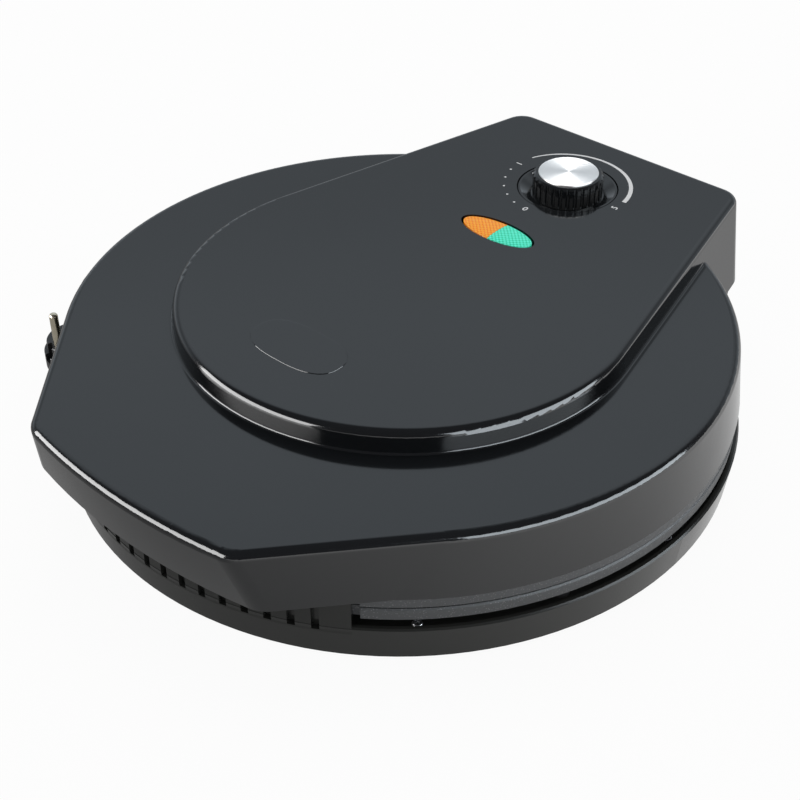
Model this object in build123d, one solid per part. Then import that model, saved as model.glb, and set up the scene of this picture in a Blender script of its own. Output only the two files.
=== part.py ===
from build123d import *
import os
from math import cos, pi, radians, sin, sqrt, tan

# Electric pizza maker. Sizes are millimetres.
# The model is drawn about the centre of the baking plates: X to the right, Y to the hinge, Z up.
# When it is written out it moves along Y, so that its origin lies under the middle of the whole object.

# Radius of the baking plates, which the round parts and the places round them follow
PLATE_R = 166.8

# Heights of the base
FOOT_H = 5.0
BASE_RIM_Z = 23.0
COVER_T = 2.4
WALL_T = 2.5

# Base wall
BASE_RIM_REACH = 2.3
BASE_DRAFT = 2.0
BASE_R_RIM = PLATE_R + BASE_RIM_REACH
BASE_R_BOTTOM = BASE_R_RIM - BASE_DRAFT
RIM_LIP_W = 2.5
LEDGE_DROP = 3.5
LEDGE_T = 2.5
LEDGE_W = 18.1
LEDGE_INNER_R = BASE_R_RIM - LEDGE_W

# Way through the base wall into the hinge block
WINDOW_HALF_X = 34.0

# Slotted wall under the handle
FRONT_WALL_HALF_DEG = 34.5
FRONT_WALL_STEP = 0.2
FRONT_WALL_R = BASE_R_RIM - FRONT_WALL_STEP
FRONT_WALL_T = 3.6
SLOT_COUNT = 17
SLOT_PITCH_DEG = 3.65
SLOT_W = 3.6
SLOT_DEPTH = 2.8
SLOT_BELOW_RIM = 3.1
SLOT_BOTTOM_Z = BASE_RIM_Z - SLOT_BELOW_RIM
SLOT_TOP_BAND = 2.6

# Feet
FOOT_R = 9.0
FOOT_PLACE_R = LEDGE_INNER_R - 23.0

# Baking plates
PLATE_T = 2.6
LOWER_LAND_RISE = 9.6
LOWER_LAND_Z = BASE_RIM_Z + LOWER_LAND_RISE
PLATE_GAP = 0.6
LAND_W = 13.3
LAND_INNER_R = PLATE_R - LAND_W
DISH_SLOPE_W = 4.5
DISH_R = LAND_INNER_R - DISH_SLOPE_W
LOWER_DISH_DEPTH = 7.6
UPPER_DISH_DEPTH = 8.3
EDGE_BAND_H = 5.6
EDGE_BAND_W = 3.0
POST_R = 4.0
POST_INSET = 8.3
POST_PLACE_R = PLATE_R - POST_INSET
POST_COUNT = 8
PLATE_NOTCH_GAP = 0.6
PLATE_NOTCH_DEG = 1.2

# Heaters and reflectors
HEATER_D = 6.4
REFLECTOR_R = DISH_R - 7.0
HEATER_R = REFLECTOR_R - 37.0
HEATER_GAP_DEG = 24.0
TERMINAL_R = 2.0
TERMINAL_L = 10.0
REFLECTOR_T = 0.6
REFLECTOR_GAP = 0.8
REFLECTOR_LIP = 4.0
REFLECTOR_POST_R = 5.0
REFLECTOR_POST_PLACE_R = REFLECTOR_R - 10.0
REFLECTOR_POST_COUNT = 6

# Screws
SCREW_R = 1.5
SCREW_HEAD_R = 2.8
SCREW_HEAD_H = 1.8
SCREW_FIT = 0.05
RECESS_W = 0.7
RECESS_DEPTH = 0.9
RIM_SCREW_HEAD_R = 2.4
RIM_SCREW_GAP = 0.3
RIM_SCREW_R = FRONT_WALL_R - FRONT_WALL_T - RIM_SCREW_GAP - RIM_SCREW_HEAD_R
RIM_SCREW_FIRST_DEG = 44.0

# Lid skirt and handle outline
SKIRT_RISE = 6.6
SKIRT_Z = LOWER_LAND_Z + SKIRT_RISE
SKIRT_H = 31.1
LID_TOP_Z = SKIRT_Z + SKIRT_H
SKIRT_REACH = 0.7
SKIRT_R = PLATE_R + SKIRT_REACH
SKIRT_DRAFT = 3.5
LID_TOP_R = SKIRT_R - SKIRT_DRAFT
FRONT_WALL_GAP = 0.9
FRONT_WALL_TOP_Z = SKIRT_Z - FRONT_WALL_GAP
LID_EDGE_FILLET = 4.0
LID_WALL_T = 2.6
HANDLE_FRONT_BOTTOM = SKIRT_R + 9.5
HANDLE_FRONT_TOP = HANDLE_FRONT_BOTTOM + 6.0
HANDLE_SIDE_BOTTOM = SKIRT_R - 1.7
HANDLE_SIDE_DEG = 41.2
HANDLE_BOW_R = 330.0
HANDLE_CORNER_R = 16.0
HANDLE_PLATE_T = 2.2
HANDLE_SCREW_X = 68.0
HANDLE_SCREW_Y = -(SKIRT_R - 6.5)

# Raised housing on the lid
HOUSING_RISE = 11.2
HOUSING_TOP_Z = LID_TOP_Z + HOUSING_RISE
HOUSING_EDGE_FILLET = 4.0
HOUSING_EDGE_Z = HOUSING_TOP_Z - HOUSING_EDGE_FILLET
HOUSING_BOTTOM_Z = BASE_RIM_Z + 8.0
HOUSING_INSET = 50.2
HOUSING_R = LID_TOP_R - HOUSING_INSET
HOUSING_CENTRE_Y = 5.0
HOUSING_TAPER_DEG = 12.85
HOUSING_REAR_REACH = 22.9
HOUSING_REAR_Y = BASE_R_RIM + HOUSING_REAR_REACH
HOUSING_CORNER_R = 12.0
HOUSING_DRAFT_DEG = 6.5
HOUSING_FOOT_FILLET = 1.2

# Hinge
HINGE_Y = HOUSING_REAR_Y - 9.0
HINGE_Z = HOUSING_BOTTOM_Z - 10.0
HINGE_PIN_R = 2.5
HINGE_FIT = 0.05
BARREL_R = 6.5
BLOCK_HALF_X = 76.0
BLOCK_CORNER_R = 4.0
EAR_X = 43.2
EAR_W = 7.0
EAR_GAP = 0.8
BLOCK_WALL_T = 2.5

# Knob
KNOB_FROM_REAR = 56.0
KNOB_Y = HOUSING_REAR_Y - KNOB_FROM_REAR
DISH_OUTER_R = 26.9
DISH_RIM_W = 1.4
DISH_FLOOR_R = 19.6
DISH_DEPTH = 3.6
GRIP_R = 18.9
GRIP_FLUTES = 30
FLUTE_DEPTH = 0.7
GRIP_RISE = 9.0
GRIP_TOP_Z = HOUSING_TOP_Z + GRIP_RISE
GRIP_CHAMFER = 1.3
CAP_R = 16.1
CAP_RISE = 0.7
CAP_TOP_Z = GRIP_TOP_Z + CAP_RISE
CAP_T = 1.6
WELL_GAP = 0.4
WELL_DEPTH = 6.0
WELL_FLOOR_T = 2.4
POINTER_R = 0.9
POINTER_PLACE_R = 24.3
POINTER_DEG = -94.1
SPINDLE_R = 3.0
SPINDLE_FIT = 0.05
SPINDLE_FLAT = 0.7

# Thermostat
THERMOSTAT_W = 30.0
THERMOSTAT_D = 24.0
THERMOSTAT_H = 13.0
BUSH_R = 4.8
BRACKET_W = 58.0
BRACKET_D = 20.0
BRACKET_T = 1.2
BRACKET_SCREW_X = 23.0
SPACER_H = 1.4

# Lamps
LAMP_FROM_KNOB = 60.6
LAMP_Y = KNOB_Y - LAMP_FROM_KNOB
LAMP_HALF_W = 22.4
LAMP_HALF_D = 9.3
LAMP_RIM_GAP = 0.35
LAMP_SPLIT_GAP = 0.25
LENS_RISE = 0.7
LENS_TOP_Z = HOUSING_TOP_Z + LENS_RISE
LENS_FLANGE = 1.9
LENS_FLANGE_T = 1.5
HOLDER_DEPTH = 16.0
HOLDER_WALL = 1.6
NEON_R = 3.0
NEON_H = 11.0

# Small parts above the upper reflector
FUSE_R = 2.6
FUSE_L = 22.0
FUSE_X = -48.0
FUSE_Y = 40.0
LID_BLOCK_X = 38.0
LID_BLOCK_Y = 92.0
CONNECTOR_W = 16.0
CONNECTOR_D = 22.0
CONNECTOR_H = 9.0
CONNECTOR_WAY = 4.0
LEAD_R = 1.4

# Mains lead
CORD_D = 6.6
CORD_EXIT_DEG = 126.0
GLAND_Z = FOOT_H + 7.2
GLAND_R = 4.7
GLAND_FLANGE_R = 6.6
GLAND_L = 24.0
GLAND_TIP_R = 4.1
COIL_X = -(BASE_R_RIM - 19.1)
COIL_Y = BASE_R_RIM - 9.1
COIL_TURN_GAP = 0.6
COIL_R = 40.0
COIL_START_DEG = 225.0
COIL_HALF_TURNS = 2.0
COIL_TOTAL_TURNS = 3.875
PLUG_X = -(BASE_R_RIM + 1.7)
PLUG_Y = -74.3
PLUG_R = 16.8
PLUG_LOWER_H = 9.5
PLUG_UPPER_H = 6.0
PLUG_STEP = 2.0
PLUG_PIN_R = 2.35
PLUG_PIN_L = 19.0
PLUG_PIN_SPACING = 19.0
PLUG_TURN_DEG = 78.5
PLUG_EXIT_DEG = 136.0
PLUG_NECK_L = 11.0
PLUG_NECK_R = 4.4


def polar(radius, degrees_from_front, z=0.0):
    # A place at an angle counted from the handle side towards the right
    a = radians(degrees_from_front)
    return Vector(radius * sin(a), -radius * cos(a), z)


def at(place, shape):
    return Pos(place.X, place.Y, place.Z) * shape


def cylinder(radius, z0, z1, x=0.0, y=0.0):
    base = Cylinder(radius, z1 - z0, align=(Align.CENTER, Align.CENTER, Align.MIN))
    return Pos(x, y, z0) * base


def block(x0, x1, y0, y1, z0, z1):
    solid = Box(x1 - x0, y1 - y0, z1 - z0, align=(Align.MIN, Align.MIN, Align.MIN))
    return Pos(x0, y0, z0) * solid


def turned(points):
    # A round solid from a closed outline of radius and height
    outline = Plane.XZ * Polyline(*points, close=True)
    return revolve(make_face(outline), Axis.Z)


def sector(radius, half_deg, z0, z1, centre_deg=0.0):
    # A wedge about a direction counted from the front
    reach = radius * 1.5
    a = radians(half_deg)
    across = reach * sin(a)
    along = -reach * cos(a)
    points = [(0, 0), (-across, along), (0, -reach * 1.6), (across, along)]
    face = make_face(Polyline(*points, close=True))
    return Rot(0, 0, centre_deg) * Pos(0, 0, z0) * extrude(face, z1 - z0)


def plain_screw(head_z, length, up, head_r=SCREW_HEAD_R):
    # A pan head with a cross recess, its underside at head_z and its shaft pointing away from the head
    way = -1 if up else 1
    head = Cylinder(head_r, SCREW_HEAD_H, align=(Align.CENTER, Align.CENTER, Align.MIN))
    head = fillet(head.edges().sort_by(Axis.Z)[-1], SCREW_HEAD_H * 0.45)
    shaft = Cylinder(SCREW_R, length, align=(Align.CENTER, Align.CENTER, Align.MAX))
    slot = Box(head_r * 1.2, RECESS_W, RECESS_DEPTH * 2)
    cross = slot + Rot(0, 0, 90) * slot
    screw = head + shaft - Pos(0, 0, SCREW_HEAD_H) * cross
    if way < 0:
        screw = Rot(180, 0, 0) * screw
    return Pos(0, 0, head_z) * screw


def ring_places(radius, count, first_deg):
    return [polar(radius, first_deg + i * 360.0 / count) for i in range(count)]


def group(solids):
    return Compound(list(solids))


# Values that several pieces share
PLATE_BOTTOM_Z = LOWER_LAND_Z - EDGE_BAND_H
UPPER_LAND_Z = LOWER_LAND_Z + PLATE_GAP
LEDGE_Z = BASE_RIM_Z - LEDGE_DROP
LOWER_UNDER_Z = LOWER_LAND_Z - LOWER_DISH_DEPTH - PLATE_T
UPPER_OVER_Z = UPPER_LAND_Z + UPPER_DISH_DEPTH + PLATE_T
COVER_TOP_Z = FOOT_H + COVER_T
LOWER_REFLECTOR_Z = LOWER_UNDER_Z - HEATER_D - REFLECTOR_GAP - REFLECTOR_T
UPPER_REFLECTOR_Z = UPPER_OVER_Z + HEATER_D + REFLECTOR_GAP
LID_INNER_Z = LID_TOP_Z - LID_WALL_T
HOUSING_INNER_Z = HOUSING_TOP_Z - LID_WALL_T
FRONT_WALL_INNER_R = FRONT_WALL_R - FRONT_WALL_T
WELL_R = DISH_OUTER_R + WELL_GAP
WELL_FLOOR_Z = HOUSING_TOP_Z - WELL_DEPTH
WELL_UNDER_Z = WELL_FLOOR_Z - WELL_FLOOR_T


def base_wall_r(z):
    share = (z - FOOT_H) / (BASE_RIM_Z - FOOT_H)
    return BASE_R_BOTTOM + share * (BASE_R_RIM - BASE_R_BOTTOM)


def make_base_shell():
    lip_r = BASE_R_RIM - RIM_LIP_W
    ring = turned([
        (BASE_R_BOTTOM, FOOT_H),
        (BASE_R_RIM, BASE_RIM_Z - 0.8),
        (BASE_R_RIM - 0.8, BASE_RIM_Z),
        (lip_r, BASE_RIM_Z),
        (lip_r, LEDGE_Z),
        (LEDGE_INNER_R, LEDGE_Z),
        (LEDGE_INNER_R, LEDGE_Z - LEDGE_T),
        (base_wall_r(LEDGE_Z - LEDGE_T) - WALL_T, LEDGE_Z - LEDGE_T),
        (BASE_R_BOTTOM - WALL_T, FOOT_H),
    ])
    wall = cylinder(FRONT_WALL_R, LEDGE_Z - 0.5, FRONT_WALL_TOP_Z)
    wall -= cylinder(FRONT_WALL_INNER_R, LEDGE_Z - 1, FRONT_WALL_TOP_Z + 1)
    wall &= sector(FRONT_WALL_R, FRONT_WALL_HALF_DEG, LEDGE_Z - 1, FRONT_WALL_TOP_Z + 1)
    shell = ring + wall
    first = -SLOT_PITCH_DEG * (SLOT_COUNT - 1) / 2
    slot_top = FRONT_WALL_TOP_Z - SLOT_TOP_BAND
    slot_floor = SLOT_DEPTH - FRONT_WALL_R
    for i in range(SLOT_COUNT):
        slot = block(-SLOT_W / 2, SLOT_W / 2, -BASE_R_RIM - 2, slot_floor, SLOT_BOTTOM_Z, slot_top)
        shell -= Rot(0, 0, first + i * SLOT_PITCH_DEG) * slot
    for place in ring_places(RIM_SCREW_R, POST_COUNT, RIM_SCREW_FIRST_DEG):
        shell -= at(place, cylinder(SCREW_R + SCREW_FIT, LEDGE_Z - LEDGE_T - 1, LEDGE_Z + 1))
    for place in ring_places(POST_PLACE_R, POST_COUNT, 22.5):
        shell -= at(place, cylinder(SCREW_R + SCREW_FIT, LEDGE_Z - LEDGE_T - 1, LEDGE_Z + 1))
    gland_hole = gland_solid(SCREW_FIT)
    shell -= gland_hole
    window_top = LEDGE_Z - LEDGE_T - 0.5
    window_low = COVER_TOP_Z + 0.6
    shell -= block(-WINDOW_HALF_X, WINDOW_HALF_X, BASE_R_BOTTOM - 12, BASE_R_RIM + 2, window_low, window_top)
    return shell


def make_bottom_cover():
    cover = cylinder(BASE_R_BOTTOM - WALL_T - 0.3, FOOT_H, COVER_TOP_Z)
    boss_top = LEDGE_Z - LEDGE_T
    for place in ring_places(RIM_SCREW_R, POST_COUNT, RIM_SCREW_FIRST_DEG):
        edge = base_wall_r(COVER_TOP_Z) - WALL_T - 0.4
        boss = at(place, cylinder(3.4, COVER_TOP_Z - 0.5, boss_top))
        boss &= cylinder(edge, FOOT_H, boss_top)
        cover += boss - at(place, cylinder(SCREW_R + SCREW_FIT, COVER_TOP_Z + 1.5, boss_top + 1))
    for row in range(5):
        for side in (-1, 1):
            low_y = -40 + row * 20
            cover -= block(side * 42 - 26, side * 42 + 26, low_y, low_y + 4, FOOT_H - 1, COVER_TOP_Z + 1)
    return cover


def make_feet():
    feet = []
    for angle in (45, 135, 225, 315):
        foot = Cone(FOOT_R - 1.2, FOOT_R, FOOT_H, align=(Align.CENTER, Align.CENTER, Align.MIN))
        foot = fillet(foot.edges().sort_by(Axis.Z)[0], 0.8)
        feet.append(at(polar(FOOT_PLACE_R, angle), foot))
    return group(feet)


def plate_outline(land, way, depth):
    # The lower plate has way 1: its dish sinks. The upper plate has way -1: its dish rises
    dish = land - way * depth
    return [
        (0, dish),
        (DISH_R, dish),
        (LAND_INNER_R, land),
        (PLATE_R - 0.8, land),
        (PLATE_R, land - way * 0.8),
        (PLATE_R, land - way * EDGE_BAND_H),
        (PLATE_R - EDGE_BAND_W, land - way * EDGE_BAND_H),
        (PLATE_R - EDGE_BAND_W, land - way * PLATE_T),
        (LAND_INNER_R + 1.2, land - way * PLATE_T),
        (DISH_R + 1.2, dish - way * PLATE_T),
        (0, dish - way * PLATE_T),
    ]


def notch_ring(z0, z1):
    # Room in a plate's edge for the slotted wall
    inner = FRONT_WALL_INNER_R - PLATE_NOTCH_GAP
    ring = cylinder(PLATE_R + 2, z0, z1) - cylinder(inner, z0 - 1, z1 + 1)
    return ring & sector(PLATE_R, FRONT_WALL_HALF_DEG + PLATE_NOTCH_DEG, z0, z1)


def make_lower_plate():
    plate = turned(plate_outline(LOWER_LAND_Z, 1, LOWER_DISH_DEPTH))
    plate -= notch_ring(PLATE_BOTTOM_Z - 2, LOWER_LAND_Z + 2)
    for place in ring_places(POST_PLACE_R, POST_COUNT, 22.5):
        post = at(place, cylinder(POST_R, LEDGE_Z, LOWER_LAND_Z - PLATE_T + 0.5))
        plate += post
        plate -= at(place, cylinder(SCREW_R + SCREW_FIT, LEDGE_Z - 1, LOWER_LAND_Z - PLATE_T - 0.6))
    for place in ring_places(REFLECTOR_POST_PLACE_R, REFLECTOR_POST_COUNT, 30.0):
        plate += at(place, cylinder(REFLECTOR_POST_R, LOWER_REFLECTOR_Z + REFLECTOR_T, LOWER_UNDER_Z + 0.5))
        plate -= at(place, cylinder(SCREW_R + SCREW_FIT, LOWER_REFLECTOR_Z, LOWER_UNDER_Z))
    return plate


def make_upper_plate():
    plate = turned(plate_outline(UPPER_LAND_Z, -1, UPPER_DISH_DEPTH))
    plate -= notch_ring(UPPER_LAND_Z - 2, UPPER_LAND_Z + EDGE_BAND_H + 2)
    for place in ring_places(POST_PLACE_R, POST_COUNT, 22.5):
        plate += at(place, cylinder(POST_R, UPPER_LAND_Z + PLATE_T - 0.5, UPPER_REFLECTOR_Z))
        plate -= at(place, cylinder(SCREW_R + SCREW_FIT, UPPER_LAND_Z - 1, UPPER_REFLECTOR_Z + 1))
        plate -= at(place, cylinder(SCREW_HEAD_R + 0.2, UPPER_LAND_Z - 1, UPPER_LAND_Z + SCREW_HEAD_H + 0.2))
        plate += at(place, cylinder(POST_R, UPPER_LAND_Z + SCREW_HEAD_H + 0.2, UPPER_REFLECTOR_Z) - cylinder(
            SCREW_R + SCREW_FIT, UPPER_LAND_Z, UPPER_REFLECTOR_Z + 1))
    for place in ring_places(REFLECTOR_POST_PLACE_R, REFLECTOR_POST_COUNT, 30.0):
        plate += at(place, cylinder(REFLECTOR_POST_R, UPPER_OVER_Z - 0.5, UPPER_REFLECTOR_Z))
        plate -= at(place, cylinder(SCREW_R + SCREW_FIT, UPPER_OVER_Z, UPPER_REFLECTOR_Z + 1))
    return plate


def heater_ring(z, way):
    # A tubular ring, open at the back, with a terminal at each end; way is 1 for terminals that point up
    gap = HEATER_GAP_DEG / 2
    path = CenterArc((0, 0, z), HEATER_R, 90 + gap, 360 - 2 * gap)
    tube = sweep(Plane(origin=path @ 0, z_dir=path % 0) * Circle(HEATER_D / 2), path=path)
    for end in (path @ 0, path @ 1):
        cap = at(end, Sphere(HEATER_D / 2))
        low = 0 if way > 0 else -TERMINAL_L
        tube += cap
        tube += Pos(end.X, end.Y, end.Z) * cylinder(TERMINAL_R, low, low + TERMINAL_L)
    return tube


def reflector(z, way):
    # A thin pan with its rim turned towards the plate; way is 1 where the plate lies above
    inner = REFLECTOR_R - REFLECTOR_T
    near = z + REFLECTOR_T if way > 0 else z
    far = near - way * REFLECTOR_T
    tip = near + way * REFLECTOR_LIP
    pan = turned([(0, far), (REFLECTOR_R, far), (REFLECTOR_R, tip), (inner, tip), (inner, near), (0, near)])
    for place in ring_places(REFLECTOR_POST_PLACE_R, REFLECTOR_POST_COUNT, 30.0):
        pan -= at(place, cylinder(SCREW_R + SCREW_FIT, z - 1, z + REFLECTOR_T + 1))
    for end in heater_ends():
        pan -= at(end, cylinder(TERMINAL_R + 2.5, z - 1, z + REFLECTOR_T + 1))
    return pan


def heater_ends():
    gap = HEATER_GAP_DEG / 2
    return [polar(HEATER_R, 180 - gap), polar(HEATER_R, 180 + gap)]


def make_hinge_block():
    top = HINGE_Z
    rear = HINGE_Y + BARREL_R
    body = block(-BLOCK_HALF_X, BLOCK_HALF_X, HINGE_Y - 60, rear, FOOT_H, top)
    body = fillet(body.edges().filter_by(Axis.Z).sort_by(Axis.Y)[-2:], BLOCK_CORNER_R)
    body -= cylinder(BASE_R_RIM + 0.15, FOOT_H - 1, top + 20)
    body -= Cone(BASE_R_BOTTOM + 0.15, BASE_R_RIM + 0.15, BASE_RIM_Z - FOOT_H)
    barrel = Pos(0, HINGE_Y, HINGE_Z) * Rot(0, 90, 0) * Cylinder(BARREL_R, 2 * BLOCK_HALF_X)
    body += barrel
    front = HINGE_Y - BARREL_R
    body += block(-BLOCK_HALF_X, BLOCK_HALF_X, front - 3.5, HINGE_Y, top - 4, top) & cut_outside()
    for side in (-1, 1):
        x0, x1 = sorted((side * (EAR_X - EAR_GAP), side * (EAR_X + EAR_W + EAR_GAP)))
        body -= block(x0, x1, HINGE_Y - BARREL_R - 2.5, rear + 1, COVER_TOP_Z, HINGE_Z + BARREL_R + 1)
    chamber = EAR_X - EAR_GAP - BLOCK_WALL_T
    hollow = block(-chamber, chamber, HINGE_Y - 40, rear - BLOCK_WALL_T, COVER_TOP_Z, HINGE_Z + 2)
    body -= hollow - cylinder(BASE_R_RIM - 1, 0, 60)
    pin_from = EAR_X - EAR_GAP
    for side in (-1, 1):
        hole = Cylinder(HINGE_PIN_R, BLOCK_HALF_X - 2 - pin_from + 12)
        middle = side * (pin_from - 6 + (BLOCK_HALF_X - 2 - pin_from + 12) / 2)
        body -= Pos(middle, HINGE_Y, HINGE_Z) * Rot(0, 90, 0) * hole
    return body


def cut_outside():
    # The space outside the base wall
    return block(-200, 200, 100, 260, 0, 100) - cylinder(BASE_R_RIM + 0.15, -1, 101)


def make_hinge_pins():
    pins = []
    start = EAR_X - EAR_GAP - 2.0
    length = BLOCK_HALF_X - 2.5 - start
    for side in (-1, 1):
        pin = Rot(0, 90, 0) * Cylinder(HINGE_PIN_R - SCREW_FIT / 2, length)
        pins.append(Pos(side * (start + length / 2), HINGE_Y, HINGE_Z) * pin)
    return group(pins)


def lid_outline(z, radius, side, front, inset=0.0):
    # Circle with the flat-sided handle: big arc, straight side, corner, bowed front, corner, straight side
    radius -= inset
    side -= inset
    front -= inset
    bow = HANDLE_BOW_R - inset
    corner = HANDLE_CORNER_R - inset
    a = radians(HANDLE_SIDE_DEG)
    normal = Vector(cos(a), -sin(a))
    along = Vector(-sin(a), -cos(a))
    start = normal * side + along * sqrt(max(radius ** 2 - side ** 2, 0.0))
    bow_centre = Vector(0, bow - front)
    origin = normal * (side - corner) - bow_centre
    b = origin.dot(along)
    c = origin.dot(origin) - (bow - corner) ** 2
    middle = normal * (side - corner) + along * (-b + sqrt(b * b - c))
    line_end = middle + normal * corner
    outward = (middle - bow_centre).normalized()
    bow_end = middle + outward * corner
    halfway = middle + (normal + outward).normalized() * corner

    def left(p):
        return Vector(-p.X, p.Y)

    edges = [
        ThreePointArc(left(start), (0, radius), start),
        Line(start, line_end),
        ThreePointArc(line_end, halfway, bow_end),
        ThreePointArc(bow_end, (0, -front), left(bow_end)),
        ThreePointArc(left(bow_end), left(halfway), left(line_end)),
        Line(left(line_end), left(start)),
    ]
    return Pos(0, 0, z) * make_face(Wire(edges))


def lid_solid(inset, z0, z1, edge):
    # Straight lines join a lower and an upper outline
    def outline(z):
        share = (z - SKIRT_Z) / (LID_TOP_Z - SKIRT_Z)
        radius = SKIRT_R + share * (LID_TOP_R - SKIRT_R)
        side = HANDLE_SIDE_BOTTOM + share * (LID_TOP_R - HANDLE_SIDE_BOTTOM)
        front = HANDLE_FRONT_BOTTOM + share * (HANDLE_FRONT_TOP - HANDLE_FRONT_BOTTOM)
        return lid_outline(z, radius, min(side, radius), front, inset)

    solid = loft([outline(z0), outline(z1)], ruled=True)
    rim = [e for e in solid.edges() if abs(e.center().Z - z1) < 0.01]
    return fillet(rim, edge) if edge else solid


def housing_outline(z, inset=0.0):
    out = (HOUSING_EDGE_Z - z) * tan(radians(HOUSING_DRAFT_DEG)) - inset
    r = HOUSING_R + out
    t = radians(HOUSING_TAPER_DEG)
    corner = HOUSING_CORNER_R + out
    corner_y = HOUSING_REAR_Y - HOUSING_CORNER_R
    reach = HOUSING_R - HOUSING_CORNER_R
    corner_x = (reach - sin(t) * (corner_y - HOUSING_CENTRE_Y)) / cos(t)
    side = Vector(cos(t), sin(t))
    middle = Vector(corner_x, corner_y)
    front_end = Vector(0, HOUSING_CENTRE_Y) + side * r
    side_end = middle + side * corner
    rear_end = middle + Vector(0, corner)
    half = Vector(cos((t + pi / 2) / 2), sin((t + pi / 2) / 2))
    halfway = middle + half * corner

    def left(p):
        return Vector(-p.X, p.Y)

    edges = [
        ThreePointArc(left(front_end), (0, HOUSING_CENTRE_Y - r), front_end),
        Line(front_end, side_end),
        ThreePointArc(side_end, halfway, rear_end),
        Line(rear_end, left(rear_end)),
        ThreePointArc(left(rear_end), left(halfway), left(side_end)),
        Line(left(side_end), left(front_end)),
    ]
    return Pos(0, 0, z) * make_face(Wire(edges))


def housing_solid(inset, z0, z1, edge):
    solid = loft([housing_outline(z0, inset), housing_outline(z1, inset)], ruled=True)
    rim = [e for e in solid.edges() if abs(e.center().Z - z1) < 0.01]
    return fillet(rim, edge)


def ellipse_solid(extra, z0, z1):
    face = Ellipse(LAMP_HALF_W + extra, LAMP_HALF_D + extra)
    return Pos(0, LAMP_Y, z0) * extrude(face, z1 - z0)


def foot_bead():
    # The small hollow rounding where the raised housing meets the lid's flat top
    out = (HOUSING_EDGE_Z - LID_TOP_Z) * tan(radians(HOUSING_DRAFT_DEG))
    r = HOUSING_R + out
    bead = HOUSING_FOOT_FILLET
    deep = bead * 0.5

    def profile(plane):
        corners = [(r - deep, -deep), (r + bead, -deep), (r + bead, 0)]
        arc = ThreePointArc((r + bead, 0), (r + bead * 0.293, bead * 0.293), (r, bead))
        lines = Polyline(corners[0], corners[1], corners[2]) + arc + Line((r, bead), (r - deep, bead))
        closing = Line((r - deep, bead), corners[0])
        return plane * make_face(Wire((lines + closing).edges()))

    t = HOUSING_TAPER_DEG
    centre = Vector(0, HOUSING_CENTRE_Y, LID_TOP_Z)
    section = profile(Plane.XZ)
    ring = revolve(section, Axis.Z, 180 + 2 * t)
    solids = []
    for side in (-1, 1):
        turn = t if side > 0 else 180 - t
        face = Rot(0, 0, turn) * section
        along = Vector(-sin(radians(t)) * side, cos(radians(t)))
        solids.append(extrude(face, 135, dir=along))
    bead_solid = Rot(0, 0, 180 - t) * ring + solids[0] + solids[1]
    bead_solid = Pos(centre.X, centre.Y, centre.Z) * bead_solid
    return bead_solid & cylinder(LID_TOP_R - LID_EDGE_FILLET, LID_TOP_Z - 5, LID_TOP_Z + 5)


def ear_solid():
    # The lid's hinge arm: a ring round the pin with a web up to the rear wall
    rear = HOUSING_REAR_Y + 3.0
    points = [
        (HINGE_Y - BARREL_R, HINGE_Z),
        (HINGE_Y - BARREL_R, HINGE_Z + 14),
        (HINGE_Y, HINGE_Z + 34),
        (rear, HINGE_Z + 34),
        (rear, HINGE_Z + 13),
        (HINGE_Y + BARREL_R, HINGE_Z),
    ]
    web = extrude(Plane.YZ * make_face(Polyline(*points, close=True)), EAR_W / 2, both=True)
    ring = Pos(0, HINGE_Y, HINGE_Z) * Rot(0, 90, 0) * Cylinder(BARREL_R, EAR_W)
    bore = Pos(0, HINGE_Y, HINGE_Z) * Rot(0, 90, 0) * Cylinder(HINGE_PIN_R + HINGE_FIT, EAR_W + 2)
    return web + ring - bore


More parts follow.
